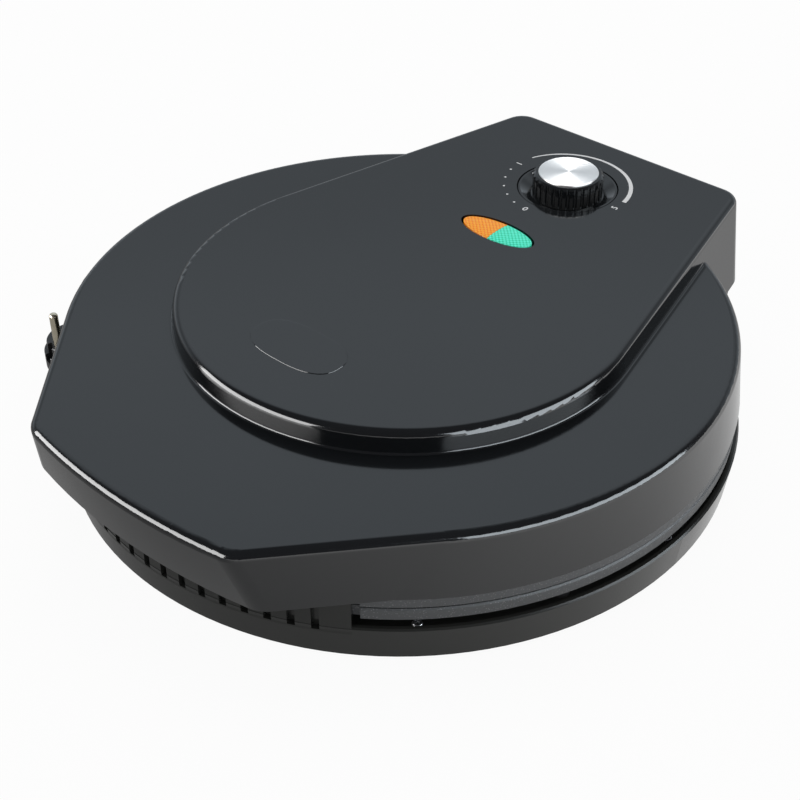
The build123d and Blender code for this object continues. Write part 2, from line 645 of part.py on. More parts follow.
def make_lid_cover():
    outer = lid_solid(0.0, SKIRT_Z, LID_TOP_Z, LID_EDGE_FILLET)
    outer += housing_solid(0.0, HOUSING_BOTTOM_Z, HOUSING_TOP_Z, HOUSING_EDGE_FILLET)
    outer -= cylinder(SKIRT_R + 0.7, HOUSING_BOTTOM_Z - 1, SKIRT_Z)
    outer += foot_bead()
    cover = outer - lid_solid(LID_WALL_T, SKIRT_Z - 1, LID_INNER_Z, 0)
    cover -= housing_solid(LID_WALL_T, HOUSING_BOTTOM_Z - 1, HOUSING_INNER_Z, 1.4)
    added = []
    cuts = []
    for place in ring_places(POST_PLACE_R, POST_COUNT, 22.5):
        under_housing = place.Y > 0 and abs(place.X) < HOUSING_REAR_Y / 2
        top = HOUSING_TOP_Z if under_housing else LID_TOP_Z
        added.append(at(place, cylinder(POST_R, UPPER_REFLECTOR_Z, top - LID_WALL_T / 2)))
        cuts.append(at(place, cylinder(SCREW_R + SCREW_FIT, UPPER_REFLECTOR_Z - 1, LID_INNER_Z - 4)))
    pilot = SCREW_R + SCREW_FIT
    for side in (-1, 1):
        x = side * HANDLE_SCREW_X
        added.append(cylinder(POST_R, SKIRT_Z + HANDLE_PLATE_T, LID_TOP_Z - 1.5, x, HANDLE_SCREW_Y))
        cuts.append(cylinder(pilot, SKIRT_Z, SKIRT_Z + 16, x, HANDLE_SCREW_Y))
        added.append(Pos(side * (EAR_X + EAR_W / 2), 0, 0) * ear_solid())
        x = side * BRACKET_SCREW_X
        added.append(cylinder(POST_R, WELL_UNDER_Z - SPACER_H, WELL_UNDER_Z + 0.5, x, KNOB_Y))
        cuts.append(cylinder(pilot, WELL_UNDER_Z - SPACER_H - 1, WELL_FLOOR_Z - 0.6, x, KNOB_Y))
    added.append(cylinder(WELL_R + WELL_FLOOR_T, WELL_UNDER_Z, HOUSING_TOP_Z - 1, 0, KNOB_Y))
    cuts.append(cylinder(WELL_R, WELL_FLOOR_Z, HOUSING_TOP_Z + 1, 0, KNOB_Y))
    cuts.append(cylinder(BUSH_R + 0.3, WELL_UNDER_Z - 2, WELL_FLOOR_Z + 1, 0, KNOB_Y))
    cuts.append(ellipse_solid(LAMP_RIM_GAP, HOUSING_INNER_Z - 1, HOUSING_TOP_Z + 1))
    return (cover + added) - cuts


def make_handle_plate():
    # Closes the hollow handle from below
    plate = extrude(lid_outline(SKIRT_Z, SKIRT_R, HANDLE_SIDE_BOTTOM, HANDLE_FRONT_BOTTOM, LID_WALL_T + 0.4),
                    HANDLE_PLATE_T)
    plate -= cylinder(FRONT_WALL_INNER_R - 0.8, SKIRT_Z - 1, SKIRT_Z + HANDLE_PLATE_T + 1)
    plate &= block(-130, 130, -HANDLE_FRONT_TOP, -121, SKIRT_Z, SKIRT_Z + HANDLE_PLATE_T)
    for side in (-1, 1):
        x = side * HANDLE_SCREW_X
        plate -= cylinder(SCREW_R + SCREW_FIT, SKIRT_Z - 1, SKIRT_Z + 9, x, HANDLE_SCREW_Y)
        plate -= cylinder(SCREW_HEAD_R + 0.2, SKIRT_Z - 1, SKIRT_Z + 1.2, x, HANDLE_SCREW_Y)
    return plate


def make_knob():
    flute_floor = GRIP_R - FLUTE_DEPTH
    top = GRIP_TOP_Z
    rim_top = HOUSING_TOP_Z - 0.2
    floor = rim_top - DISH_DEPTH
    under = WELL_FLOOR_Z + 0.6
    body = turned([
        (SPINDLE_R + SPINDLE_FIT, under),
        (DISH_OUTER_R, under),
        (DISH_OUTER_R, rim_top - 0.4),
        (DISH_OUTER_R - 0.4, rim_top),
        (DISH_OUTER_R - DISH_RIM_W, rim_top),
        (DISH_FLOOR_R, floor),
        (GRIP_R, floor),
        (GRIP_R, top - GRIP_CHAMFER),
        (GRIP_R - GRIP_CHAMFER, top),
        (CAP_R + 0.1, top),
        (CAP_R + 0.1, CAP_TOP_Z - CAP_T),
        (SPINDLE_R + SPINDLE_FIT, CAP_TOP_Z - CAP_T),
    ])
    flute_r = pi * GRIP_R / GRIP_FLUTES * 0.62
    centre = flute_floor + flute_r
    for i in range(GRIP_FLUTES):
        place = polar(centre, i * 360.0 / GRIP_FLUTES)
        body -= at(place, cylinder(flute_r, floor + 0.8, top + 1))
    flat_y = SPINDLE_R - SPINDLE_FLAT
    flat = block(-SPINDLE_R, SPINDLE_R, flat_y, SPINDLE_R + 1, under + 4, CAP_TOP_Z - CAP_T - 1)
    body += flat
    top_plug = cylinder(SPINDLE_R + 1, CAP_TOP_Z - CAP_T - 1.2, CAP_TOP_Z - CAP_T)
    body += top_plug
    pointer = at(polar(POINTER_PLACE_R, POINTER_DEG), cylinder(POINTER_R, under + 1, rim_top + 1))
    return Pos(0, KNOB_Y, 0) * (body - pointer), Pos(0, KNOB_Y, 0) * (pointer & dish_cut(rim_top, under + 1))


def dish_cut(rim_top, z0):
    # What the pointer's paint fills: from its seat up to just under the dish's surface
    share = (POINTER_PLACE_R - DISH_FLOOR_R) / (DISH_OUTER_R - DISH_RIM_W - DISH_FLOOR_R)
    surface = rim_top - DISH_DEPTH + share * DISH_DEPTH
    return cylinder(DISH_OUTER_R, z0, surface)


def make_knob_cap():
    cap = cylinder(CAP_R, CAP_TOP_Z - CAP_T, CAP_TOP_Z)
    cap = chamfer(cap.edges().sort_by(Axis.Z)[-1], 0.4)
    return Pos(0, KNOB_Y, 0) * cap


def bracket_z():
    return WELL_UNDER_Z - SPACER_H - BRACKET_T


def make_spindle():
    z0 = bracket_z() - THERMOSTAT_H + 3.0
    z1 = CAP_TOP_Z - CAP_T - 1.4
    rod = cylinder(SPINDLE_R, z0, z1)
    flat_y = SPINDLE_R - SPINDLE_FLAT - SPINDLE_FIT
    rod -= block(-SPINDLE_R, SPINDLE_R, flat_y, SPINDLE_R + 1, WELL_FLOOR_Z + 3, z1 + 1)
    return Pos(0, KNOB_Y, 0) * rod


def make_thermostat():
    top = bracket_z()
    body = block(-THERMOSTAT_W / 2, THERMOSTAT_W / 2, KNOB_Y - THERMOSTAT_D / 2, KNOB_Y + THERMOSTAT_D / 2,
                 top - THERMOSTAT_H, top)
    body = fillet(body.edges().filter_by(Axis.Z), 2.0)
    body += cylinder(BUSH_R, top - 1, WELL_FLOOR_Z - 0.2, 0, KNOB_Y)
    body -= cylinder(SPINDLE_R + SPINDLE_FIT, top - THERMOSTAT_H + 2.8, top + 20, 0, KNOB_Y)
    for side in (-1, 1):
        x = side * (THERMOSTAT_W / 2 - 5)
        body += block(x - 0.4, x + 0.4, KNOB_Y - THERMOSTAT_D / 2 - 8, KNOB_Y - 2, top - 9, top - 3)
    return body


def make_bracket():
    z = bracket_z()
    half_d = BRACKET_D / 2
    strap = block(-BRACKET_W / 2, BRACKET_W / 2, KNOB_Y - half_d, KNOB_Y + half_d, z, z + BRACKET_T)
    strap = fillet(strap.edges().filter_by(Axis.Z), 4.0)
    strap -= cylinder(BUSH_R + 0.05, z - 1, z + 3, 0, KNOB_Y)
    for side in (-1, 1):
        strap -= cylinder(SCREW_R + SCREW_FIT, z - 1, z + 3, side * BRACKET_SCREW_X, KNOB_Y)
    return strap


def make_lens(side):
    # Half of the oval lamp window; side is -1 for the left half
    lens = ellipse_solid(0.0, HOUSING_INNER_Z - LENS_FLANGE_T, LENS_TOP_Z)
    lens = fillet(lens.edges().group_by(Axis.Z)[-1], 0.6)
    lens += ellipse_solid(LENS_FLANGE, HOUSING_INNER_Z - LENS_FLANGE_T, HOUSING_INNER_Z)
    x0, x1 = sorted((side * LAMP_SPLIT_GAP / 2, side * 60))
    return lens & block(x0, x1, LAMP_Y - 40, LAMP_Y + 40, 0, 120)


def make_lamp_holder():
    bottom = HOUSING_INNER_Z - HOLDER_DEPTH
    holder = ellipse_solid(LENS_FLANGE + 0.2 + HOLDER_WALL, bottom, HOUSING_INNER_Z)
    holder -= ellipse_solid(LENS_FLANGE + 0.2, HOUSING_INNER_Z - LENS_FLANGE_T, HOUSING_INNER_Z + 1)
    room = ellipse_solid(LENS_FLANGE - 1.2, bottom + HOLDER_WALL, HOUSING_INNER_Z)
    room -= block(-0.8, 0.8, LAMP_Y - 40, LAMP_Y + 40, bottom, HOUSING_INNER_Z - LENS_FLANGE_T)
    return holder - room


def make_neons():
    z = HOUSING_INNER_Z - HOLDER_DEPTH + HOLDER_WALL
    lamps = []
    for side in (-1, 1):
        lamp = cylinder(NEON_R, z, z + NEON_H, side * LAMP_HALF_W * 0.45, LAMP_Y)
        lamps.append(fillet(lamp.edges().sort_by(Axis.Z)[-1], NEON_R * 0.8))
    return group(lamps)


def make_fuse():
    z = UPPER_REFLECTOR_Z + REFLECTOR_T + FUSE_R
    body = Pos(FUSE_X, FUSE_Y, z) * Rot(0, 90, 0) * Cylinder(FUSE_R, FUSE_L)
    return body + Pos(FUSE_X, FUSE_Y, z) * Rot(0, 90, 0) * Cylinder(0.6, FUSE_L + 16)


def make_fuse_clip():
    z = UPPER_REFLECTOR_Z + REFLECTOR_T
    outer = FUSE_R + 0.1 + 0.8
    half = 4.0
    arch = Pos(FUSE_X, FUSE_Y, z + FUSE_R) * Rot(0, 90, 0) * Cylinder(outer, 2 * half)
    arch += block(FUSE_X - half, FUSE_X + half, FUSE_Y - outer, FUSE_Y + outer, z, z + FUSE_R)
    arch &= block(FUSE_X - half, FUSE_X + half, FUSE_Y - outer, FUSE_Y + outer, z, z + 20)
    arch += block(FUSE_X - half, FUSE_X + half, FUSE_Y - outer - 6, FUSE_Y + outer + 6, z, z + 0.8)
    bore = Pos(FUSE_X, FUSE_Y, z + FUSE_R) * Rot(0, 90, 0) * Cylinder(FUSE_R + 0.1, 2 * half + 2)
    return arch - bore


def connector(x, y, z):
    # A two-way screw connector block whose ways run along X
    half_w = CONNECTOR_W / 2
    half_d = CONNECTOR_D / 2
    body = block(x - half_d, x + half_d, y - half_w, y + half_w, z, z + CONNECTOR_H)
    body = fillet(body.edges().filter_by(Axis.Z), 1.2)
    for side in (-1, 1):
        way = y + side * CONNECTOR_WAY
        body -= Pos(x, way, z + 3.6) * Rot(0, 90, 0) * Cylinder(LEAD_R + 0.3, CONNECTOR_D + 2)
        for end in (-1, 1):
            body -= cylinder(1.6, z + CONNECTOR_H - 2.4, z + CONNECTOR_H + 1, x + end * half_d * 0.5, way)
    return body


def lead(points):
    # A wire: straight runs joined by round bends as large as the runs allow
    radii = bend_radii(points)
    path = FilletPolyline(*points, radius=radii)
    return sweep(Plane(origin=path @ 0, z_dir=path % 0) * Circle(LEAD_R), path=path)


def bend_radii(points):
    places = [Vector(*p) for p in points]
    radii = []
    for a, b, c in zip(places, places[1:], places[2:]):
        run = min((b - a).length, (c - b).length)
        turn = radians((b - a).get_angle(c - b))
        radii.append(0.45 * run / tan(turn / 2))
    return radii


def gland_frame():
    # Looks out of the base wall along the mains lead
    way = polar(1.0, -CORD_EXIT_DEG)
    start = polar(base_wall_r(GLAND_Z), -CORD_EXIT_DEG, GLAND_Z)
    return Plane(origin=start, z_dir=way)


def gland_solid(extra):
    root = Cylinder(GLAND_R + extra, WALL_T + 5, align=(Align.CENTER, Align.CENTER, Align.CENTER))
    return gland_frame() * root


def make_gland():
    # A tapered, ribbed sleeve with a collar that sits against the base wall
    profile = [
        (0, -WALL_T - 3.5),
        (GLAND_R, -WALL_T - 3.5),
        (GLAND_R, 1.2),
        (GLAND_FLANGE_R, 1.2),
        (GLAND_FLANGE_R, 3.0),
    ]
    ribs = 5
    step = (GLAND_L - 3.0) / ribs
    for i in range(ribs):
        z = 3.0 + i * step
        outer = GLAND_R + 0.7 + (GLAND_TIP_R - GLAND_R - 0.7) * (i + 1) / ribs
        groove_top = z + step * 0.4
        profile += [(outer - 0.7, z), (outer - 0.7, groove_top), (outer, groove_top), (outer, z + step)]
    profile.append((0, GLAND_L))
    return gland_frame() * turned(profile)


def gland_tip():
    return gland_frame().origin + gland_frame().z_dir * GLAND_L


def coil_pitch():
    return CORD_D + COIL_TURN_GAP


def coil_place(turns):
    # Turning clockwise from above, inwards in the upper layer and outwards in the lower one
    a = radians(COIL_START_DEG) - 2 * pi * turns
    r = COIL_R - coil_pitch() * (COIL_HALF_TURNS - abs(turns - COIL_HALF_TURNS))
    share = min(max((turns - COIL_HALF_TURNS + 0.25) / 0.5, 0.0), 1.0)
    z = CORD_D / 2 + coil_pitch() * (1 - share * share * (3 - 2 * share))
    return Vector(COIL_X + r * cos(a), COIL_Y + r * sin(a), z)


def coil_heading(turns):
    small = 1e-4
    low = max(turns - small, 0.0)
    high = min(turns + small, COIL_TOTAL_TURNS)
    return (coil_place(high) - coil_place(low)).normalized()


def biarc(p0, t0, p1, t1):
    # Two arcs that meet smoothly and keep both directions
    v = p1 - p0
    t = t0 + t1
    k = 2 * (1 - t0.dot(t1))
    vt = v.dot(t)
    d = (-vt + sqrt(vt * vt + k * v.dot(v))) / k
    middle = (p0 + p1 + (t0 - t1) * d) * 0.5
    chord = (p0 + t0 * d - (p1 - t1 * d)).normalized() * -1
    first = Edge.make_tangent_arc(p0, t0, middle)
    return [first, Edge.make_tangent_arc(middle, chord, p1)]


def coil_edges():
    knots = [0.0]
    while knots[-1] + 0.25 < COIL_TOTAL_TURNS - 1e-6:
        knots.append(knots[-1] + 0.25)
    knots.append(COIL_TOTAL_TURNS)
    start = coil_place(0.0)
    heading = flat(coil_heading(0.0))
    edges = [Edge.make_line(start - heading * CORD_D, start)]
    for a, b in zip(knots, knots[1:]):
        ta = flat(coil_heading(a)) if abs(a - COIL_HALF_TURNS) > 0.2 else coil_heading(a)
        tb = flat(coil_heading(b)) if abs(b - COIL_HALF_TURNS) > 0.2 else coil_heading(b)
        edges += biarc(coil_place(a), ta, coil_place(b), tb)
    end = coil_place(COIL_TOTAL_TURNS)
    edges.append(Edge.make_line(end, end + flat(coil_heading(COIL_TOTAL_TURNS)) * CORD_D))
    return edges


def flat(way):
    return Vector(way.X, way.Y, 0).normalized()


def tube(path):
    return sweep(Plane(origin=path @ 0, z_dir=path % 0) * Circle(CORD_D / 2), path=path)


def make_coil():
    path = Wire(coil_edges())
    print("coil length", round(path.length, 1), "least gap", round(least_gap(path), 2))
    return tube(path)


def least_gap(path):
    count = 700
    places = [path.position_at(i / count) for i in range(count + 1)]
    skip = int(count * 2.5 * CORD_D / path.length) + 1
    least = min((places[i] - places[j]).length for i in range(count) for j in range(i + skip, count + 1))
    return least - CORD_D


def plug_way():
    return polar(1.0, -PLUG_EXIT_DEG)


def plug_neck_tip():
    reach = plug_way() * (PLUG_R + PLUG_NECK_L)
    return Vector(PLUG_X, PLUG_Y, PLUG_LOWER_H / 2) + reach


def lead_route():
    tip = gland_tip()
    way = gland_frame().z_dir
    end = coil_place(0.0) - flat(coil_heading(0.0)) * CORD_D
    before = end - flat(coil_heading(0.0)) * 8.0
    return [tip, tip + way * 8.0, before, end]


def tail_route():
    start = coil_place(COIL_TOTAL_TURNS) + flat(coil_heading(COIL_TOTAL_TURNS)) * CORD_D
    first = start + flat(coil_heading(COIL_TOTAL_TURNS)) * 19.0
    tip = plug_neck_tip()
    floor = CORD_D / 2
    return [
        start,
        first,
        Vector(-BASE_R_RIM - 31.9, 112.0, floor),
        Vector(-BASE_R_RIM - 48.9, 94.0, floor),
        Vector(-BASE_R_RIM - 57.9, 71.0, floor),
        Vector(-BASE_R_RIM - 62.4, 45.0, floor),
        Vector(-BASE_R_RIM - 63.4, 18.0, floor),
        Vector(-BASE_R_RIM - 60.4, -7.0, floor),
        Vector(-BASE_R_RIM - 53.4, -28.5, floor),
        tip + plug_way() * 17.0,
        tip,
    ]


def make_cord(name, points):
    radii = bend_radii(points)
    path = FilletPolyline(*points, radius=radii)
    solid = tube(path)
    expected = pi * (CORD_D / 2) ** 2 * path.length
    print(name, "length", round(path.length, 1), "volume share", round(solid.volume / expected, 4),
          "radii", [round(r) for r in radii])
    return solid


def make_plug():
    lower = cylinder(PLUG_R, 0, PLUG_LOWER_H)
    upper = cylinder(PLUG_R - PLUG_STEP, PLUG_LOWER_H - 1, PLUG_LOWER_H + PLUG_UPPER_H)
    upper = fillet(upper.edges().sort_by(Axis.Z)[-1], 1.0)
    lower = fillet(lower.edges().sort_by(Axis.Z)[-1], 0.8)
    neck = Plane(origin=(0, 0, PLUG_LOWER_H / 2), z_dir=plug_way()) * Cylinder(
        PLUG_NECK_R, PLUG_R + PLUG_NECK_L, align=(Align.CENTER, Align.CENTER, Align.MIN))
    body = lower + upper + neck
    for side in (-1, 1):
        notch = block(-2.6, 2.6, PLUG_R - 4.5, PLUG_R + 2, PLUG_LOWER_H - 4, PLUG_LOWER_H + PLUG_UPPER_H + 1)
        body -= Rot(0, 0, PLUG_TURN_DEG - 90 + 90 * side + 90) * notch
    for side in (-1, 1):
        hole = cylinder(PLUG_PIN_R, PLUG_LOWER_H - 4, 30, side * PLUG_PIN_SPACING / 2, 0)
        body -= Rot(0, 0, PLUG_TURN_DEG) * hole
    return Pos(PLUG_X, PLUG_Y, 0) * body


def make_plug_pins():
    pins = []
    for side in (-1, 1):
        top = PLUG_LOWER_H + PLUG_UPPER_H + PLUG_PIN_L
        pin = cylinder(PLUG_PIN_R, PLUG_LOWER_H - 4, top, side * PLUG_PIN_SPACING / 2, 0)
        pin = fillet(pin.edges().sort_by(Axis.Z)[-1], PLUG_PIN_R * 0.8)
        pins.append(Pos(PLUG_X, PLUG_Y, 0) * Rot(0, 0, PLUG_TURN_DEG) * pin)
    return group(pins)


def make_rim_screws():
    places = ring_places(RIM_SCREW_R, POST_COUNT, RIM_SCREW_FIRST_DEG)
    return group([at(place, plain_screw(LEDGE_Z, 7.5, False, RIM_SCREW_HEAD_R)) for place in places])


def make_lower_plate_screws():
    places = ring_places(POST_PLACE_R, POST_COUNT, 22.5)
    return group([at(place, plain_screw(LEDGE_Z - LEDGE_T, 8.0, True)) for place in places])


def make_lower_reflector_screws():
    places = ring_places(REFLECTOR_POST_PLACE_R, REFLECTOR_POST_COUNT, 30.0)
    return group([at(place, plain_screw(LOWER_REFLECTOR_Z, 6.0, True)) for place in places])


def make_upper_reflector_screws():
    places = ring_places(REFLECTOR_POST_PLACE_R, REFLECTOR_POST_COUNT, 30.0)
    top = UPPER_REFLECTOR_Z + REFLECTOR_T
    return group([at(place, plain_screw(top, 6.0, False)) for place in places])


def make_upper_plate_screws():
    places = ring_places(POST_PLACE_R, POST_COUNT, 22.5)
    seat = UPPER_LAND_Z + SCREW_HEAD_H + 0.2
    return group([at(place, plain_screw(seat, LID_INNER_Z - 6 - seat, True)) for place in places])


def make_handle_screws():
    seat = SKIRT_Z + 1.2
    screws = [plain_screw(seat, 13.0, True) for side in (-1, 1)]
    spots = [Pos(side * HANDLE_SCREW_X, HANDLE_SCREW_Y, 0) for side in (-1, 1)]
    return group([spot * screw for spot, screw in zip(spots, screws)])


def make_bracket_screws():
    spots = [Pos(side * BRACKET_SCREW_X, KNOB_Y, 0) for side in (-1, 1)]
    return group([spot * plain_screw(bracket_z(), 4.4, True) for spot in spots])


BASE_BLOCK_Y = HINGE_Y - 4.5
BASE_LEAD_Z = COVER_TOP_Z + 3.6
LID_LEAD_Z = UPPER_REFLECTOR_Z + REFLECTOR_T + 3.6


def make_mains_cores():
    # Two wires from the gland to the connector in the hinge block
    inner = gland_frame().origin - gland_frame().z_dir * (WALL_T + 3.8)
    way = gland_frame().z_dir * -1
    cores = []
    for side in (-1, 1):
        across = Vector(-way.Y, way.X, 0) * (side * 2.0)
        start = Vector(inner.X, inner.Y, BASE_LEAD_Z) + across
        shift = side * 3.0
        points = [
            start,
            start + way * 12,
            Vector(-88 - shift, 104 + shift, BASE_LEAD_Z),
            Vector(-52 - shift, 134 + shift, BASE_LEAD_Z),
            Vector(-26 - shift, 156 + shift, BASE_LEAD_Z),
            Vector(-19 - shift * 0.6, BASE_BLOCK_Y - side * CONNECTOR_WAY, BASE_LEAD_Z),
            Vector(-CONNECTOR_D / 2 + 3, BASE_BLOCK_Y - side * CONNECTOR_WAY, BASE_LEAD_Z),
        ]
        cores.append(lead(points))
    return group(cores)


def make_lower_leads():
    # Two wires from the connector to the terminals of the lower heater
    leads = []
    ends = heater_ends()
    for side in (-1, 1):
        end = ends[0] if side < 0 else ends[1]
        out = 22 + side * 3.0
        stop = Vector(end.X, end.Y + TERMINAL_R + LEAD_R * 0.2 + 0.1, BASE_LEAD_Z)
        points = [
            Vector(CONNECTOR_D / 2 - 3, BASE_BLOCK_Y + side * CONNECTOR_WAY, BASE_LEAD_Z),
            Vector(out, BASE_BLOCK_Y + side * CONNECTOR_WAY, BASE_LEAD_Z),
            Vector(out - 1.5, 152 + side * 2, BASE_LEAD_Z),
            Vector(stop.X + side * 1.0, stop.Y + 18, BASE_LEAD_Z),
            stop,
        ]
        leads.append(lead(points))
    return group(leads)


def make_lid_leads():
    # Two wires from the lid's connector to the terminals of the upper heater
    leads = []
    ends = heater_ends()
    for side in (-1, 1):
        end = ends[0] if side > 0 else ends[1]
        stop = Vector(end.X - side * 0.0, end.Y - TERMINAL_R - LEAD_R * 0.2 - 0.1, LID_LEAD_Z)
        start = Vector(LID_BLOCK_X - CONNECTOR_D / 2 + 3, LID_BLOCK_Y - 18 + side * CONNECTOR_WAY, LID_LEAD_Z)
        points = [
            start,
            start - Vector(9, 0, 0),
            Vector(stop.X, stop.Y - 12, LID_LEAD_Z),
            stop,
        ]
        leads.append(lead(points))
    return group(leads)


body_parts = {
    "base_shell": make_base_shell(),
    "bottom_cover": make_bottom_cover(),
    "rubber_feet": make_feet(),
    "rim_screws": make_rim_screws(),
    "lower_plate": make_lower_plate(),
    "lower_plate_screws": make_lower_plate_screws(),
    "lower_heater": heater_ring(LOWER_UNDER_Z - HEATER_D / 2, -1),
    "lower_reflector": reflector(LOWER_REFLECTOR_Z, 1),
    "lower_reflector_screws": make_lower_reflector_screws(),
    "hinge_block": make_hinge_block(),
    "hinge_pins": make_hinge_pins(),
    "base_connector": connector(0, BASE_BLOCK_Y, COVER_TOP_Z),
    "mains_cores": make_mains_cores(),
    "lower_heater_leads": make_lower_leads(),
    "lid_cover": make_lid_cover(),
    "handle_underside": make_handle_plate(),
    "handle_screws": make_handle_screws(),
    "upper_plate": make_upper_plate(),
    "upper_plate_screws": make_upper_plate_screws(),
    "upper_heater": heater_ring(UPPER_OVER_Z + HEATER_D / 2, 1),
    "upper_reflector": reflector(UPPER_REFLECTOR_Z, -1),
    "upper_reflector_screws": make_upper_reflector_screws(),
    "lid_connector": connector(LID_BLOCK_X, LID_BLOCK_Y - 18, UPPER_REFLECTOR_Z + REFLECTOR_T),
    "upper_heater_leads": make_lid_leads(),
    "thermal_fuse": make_fuse(),
    "fuse_clip": make_fuse_clip(),
    "thermostat": make_thermostat(),
    "thermostat_bracket": make_bracket(),
    "thermostat_screws": make_bracket_screws(),
    "thermostat_spindle": make_spindle(),
    "amber_lens": make_lens(-1),
    "green_lens": make_lens(1),
    "lamp_holder": make_lamp_holder(),
    "neon_lamps": make_neons(),
    "knob_cap": make_knob_cap(),
}
body_parts["knob"], body_parts["knob_pointer"] = make_knob()

cord_parts = {
    "strain_relief": make_gland(),
    "cord_lead": make_cord("cord_lead", lead_route()),
    "cord_coil": make_coil(),
    "cord_tail": make_cord("cord_tail", tail_route()),
    "plug_body": make_plug(),
    "plug_pins": make_plug_pins(),
}

boxes = [shape.bounding_box() for shape in body_parts.values()]
front_y = min(box.min.Y for box in boxes)
rear_y = max(box.max.Y for box in boxes)
centre_y = (front_y + rear_y) / 2

os.makedirs("parts", exist_ok=True)
for name, shape in {**body_parts, **cord_parts}.items():
    moved = [Pos(0, -centre_y, 0) * solid for solid in shape.solids()]
    export_step(group(moved) if len(moved) > 1 else moved[0], f"parts/{name}.step")
print("moved along Y by", round(-centre_y, 4), "body length", round(rear_y - front_y, 2))
print("hinge axis y", round(HINGE_Y - centre_y, 4), "z", HINGE_Z, "knob axis y", round(KNOB_Y - centre_y, 4))
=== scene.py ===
import math
import bpy
import bmesh
from mathutils import Matrix, Vector


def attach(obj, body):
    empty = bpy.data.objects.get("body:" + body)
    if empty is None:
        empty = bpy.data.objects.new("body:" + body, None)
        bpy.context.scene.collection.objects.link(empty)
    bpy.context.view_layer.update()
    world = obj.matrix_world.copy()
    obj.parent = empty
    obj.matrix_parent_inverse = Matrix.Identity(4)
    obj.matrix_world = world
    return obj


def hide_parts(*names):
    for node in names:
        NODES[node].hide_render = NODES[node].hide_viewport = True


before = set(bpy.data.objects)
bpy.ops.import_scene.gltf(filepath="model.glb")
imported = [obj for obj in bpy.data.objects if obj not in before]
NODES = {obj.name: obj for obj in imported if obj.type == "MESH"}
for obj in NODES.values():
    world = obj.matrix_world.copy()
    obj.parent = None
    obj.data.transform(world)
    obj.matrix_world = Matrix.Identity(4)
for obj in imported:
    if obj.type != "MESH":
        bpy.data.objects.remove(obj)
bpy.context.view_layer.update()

# Places shared with the part's source, in metres. SHIFT_Y brings its y to this frame
SHIFT_Y = -0.0075717
HOUSING_TOP_Z = 0.0815
KNOB_Y = 0.136 + SHIFT_Y
LAMP_Y = 0.0754 + SHIFT_Y
CORD_D = 0.0066

# Diamond relief of the lamp lenses: depth and pitch
RELIEF = 0.00034
RELIEF_PITCH = 0.0024

# Camera at the photograph's viewing angle
CAMERA_AZ = math.radians(41.723)
CAMERA_EL = math.radians(37.309)
CAMERA_ROLL = math.radians(-0.33)
CAMERA_PLACE = Vector((0.404958, -0.462262, 0.479396))
SENSOR_WIDTH = 36.0
FOCAL_LENGTH = 67.38
CLIP_START = 0.02

camera_data = bpy.data.cameras.new("camera")
camera_data.sensor_width = SENSOR_WIDTH
camera_data.lens = FOCAL_LENGTH
camera_data.clip_start = CLIP_START
camera = bpy.data.objects.new("camera", camera_data)
bpy.context.scene.collection.objects.link(camera)
back = Vector((math.sin(CAMERA_AZ) * math.cos(CAMERA_EL),
               -math.cos(CAMERA_AZ) * math.cos(CAMERA_EL),
               math.sin(CAMERA_EL)))
side = (-back).cross(Vector((0, 0, 1))).normalized()
rise = side.cross(-back)
right = side * math.cos(CAMERA_ROLL) + rise * math.sin(CAMERA_ROLL)
up = rise * math.cos(CAMERA_ROLL) - side * math.sin(CAMERA_ROLL)
turn = Matrix((right, up, back)).transposed().to_4x4()
camera.matrix_world = Matrix.Translation(CAMERA_PLACE) @ turn
bpy.context.scene.camera = camera
bpy.context.scene.view_settings.view_transform = "Standard"


# Materials
class Nodes:
    # The emptied node tree of a material or world, filled step by step

    def __init__(self, owner):
        owner.use_nodes = True
        self.tree = owner.node_tree
        self.tree.nodes.clear()

    def add(self, kind, **settings):
        node = self.tree.nodes.new(kind)
        for key, value in settings.items():
            setattr(node, key, value)
        return node

    def link(self, source, out, target, into):
        self.tree.links.new(source.outputs[out], target.inputs[into])

    def spread(self, source, out, low, high, from_low=0.3, from_high=0.7, **settings):
        # From the range from_low to from_high to the range low to high
        node = self.add("ShaderNodeMapRange", **settings)
        node.inputs["From Min"].default_value = from_low
        node.inputs["From Max"].default_value = from_high
        node.inputs["To Min"].default_value = low
        node.inputs["To Max"].default_value = high
        self.link(source, out, node, "Value")
        return node

    def ramp(self, source, out, stops):
        node = self.add("ShaderNodeValToRGB")
        points = node.color_ramp.elements
        while len(points) < len(stops):
            points.new(0.5)
        for point, (place, colour) in zip(points, stops):
            point.position = place
            point.color = (*colour, 1.0)
        self.link(source, out, node, "Fac")
        return node

    def either(self, source, first, second):
        # 1 where one of two outputs is 1
        node = self.add("ShaderNodeMath", operation="MAXIMUM")
        self.link(source, first, node, 0)
        self.link(source, second, node, 1)
        return node

    def blend(self, share, out, first, first_out, second, second_out):
        node = self.add("ShaderNodeMixShader")
        self.link(share, out, node, "Fac")
        self.link(first, first_out, node, 1)
        self.link(second, second_out, node, 2)
        return node


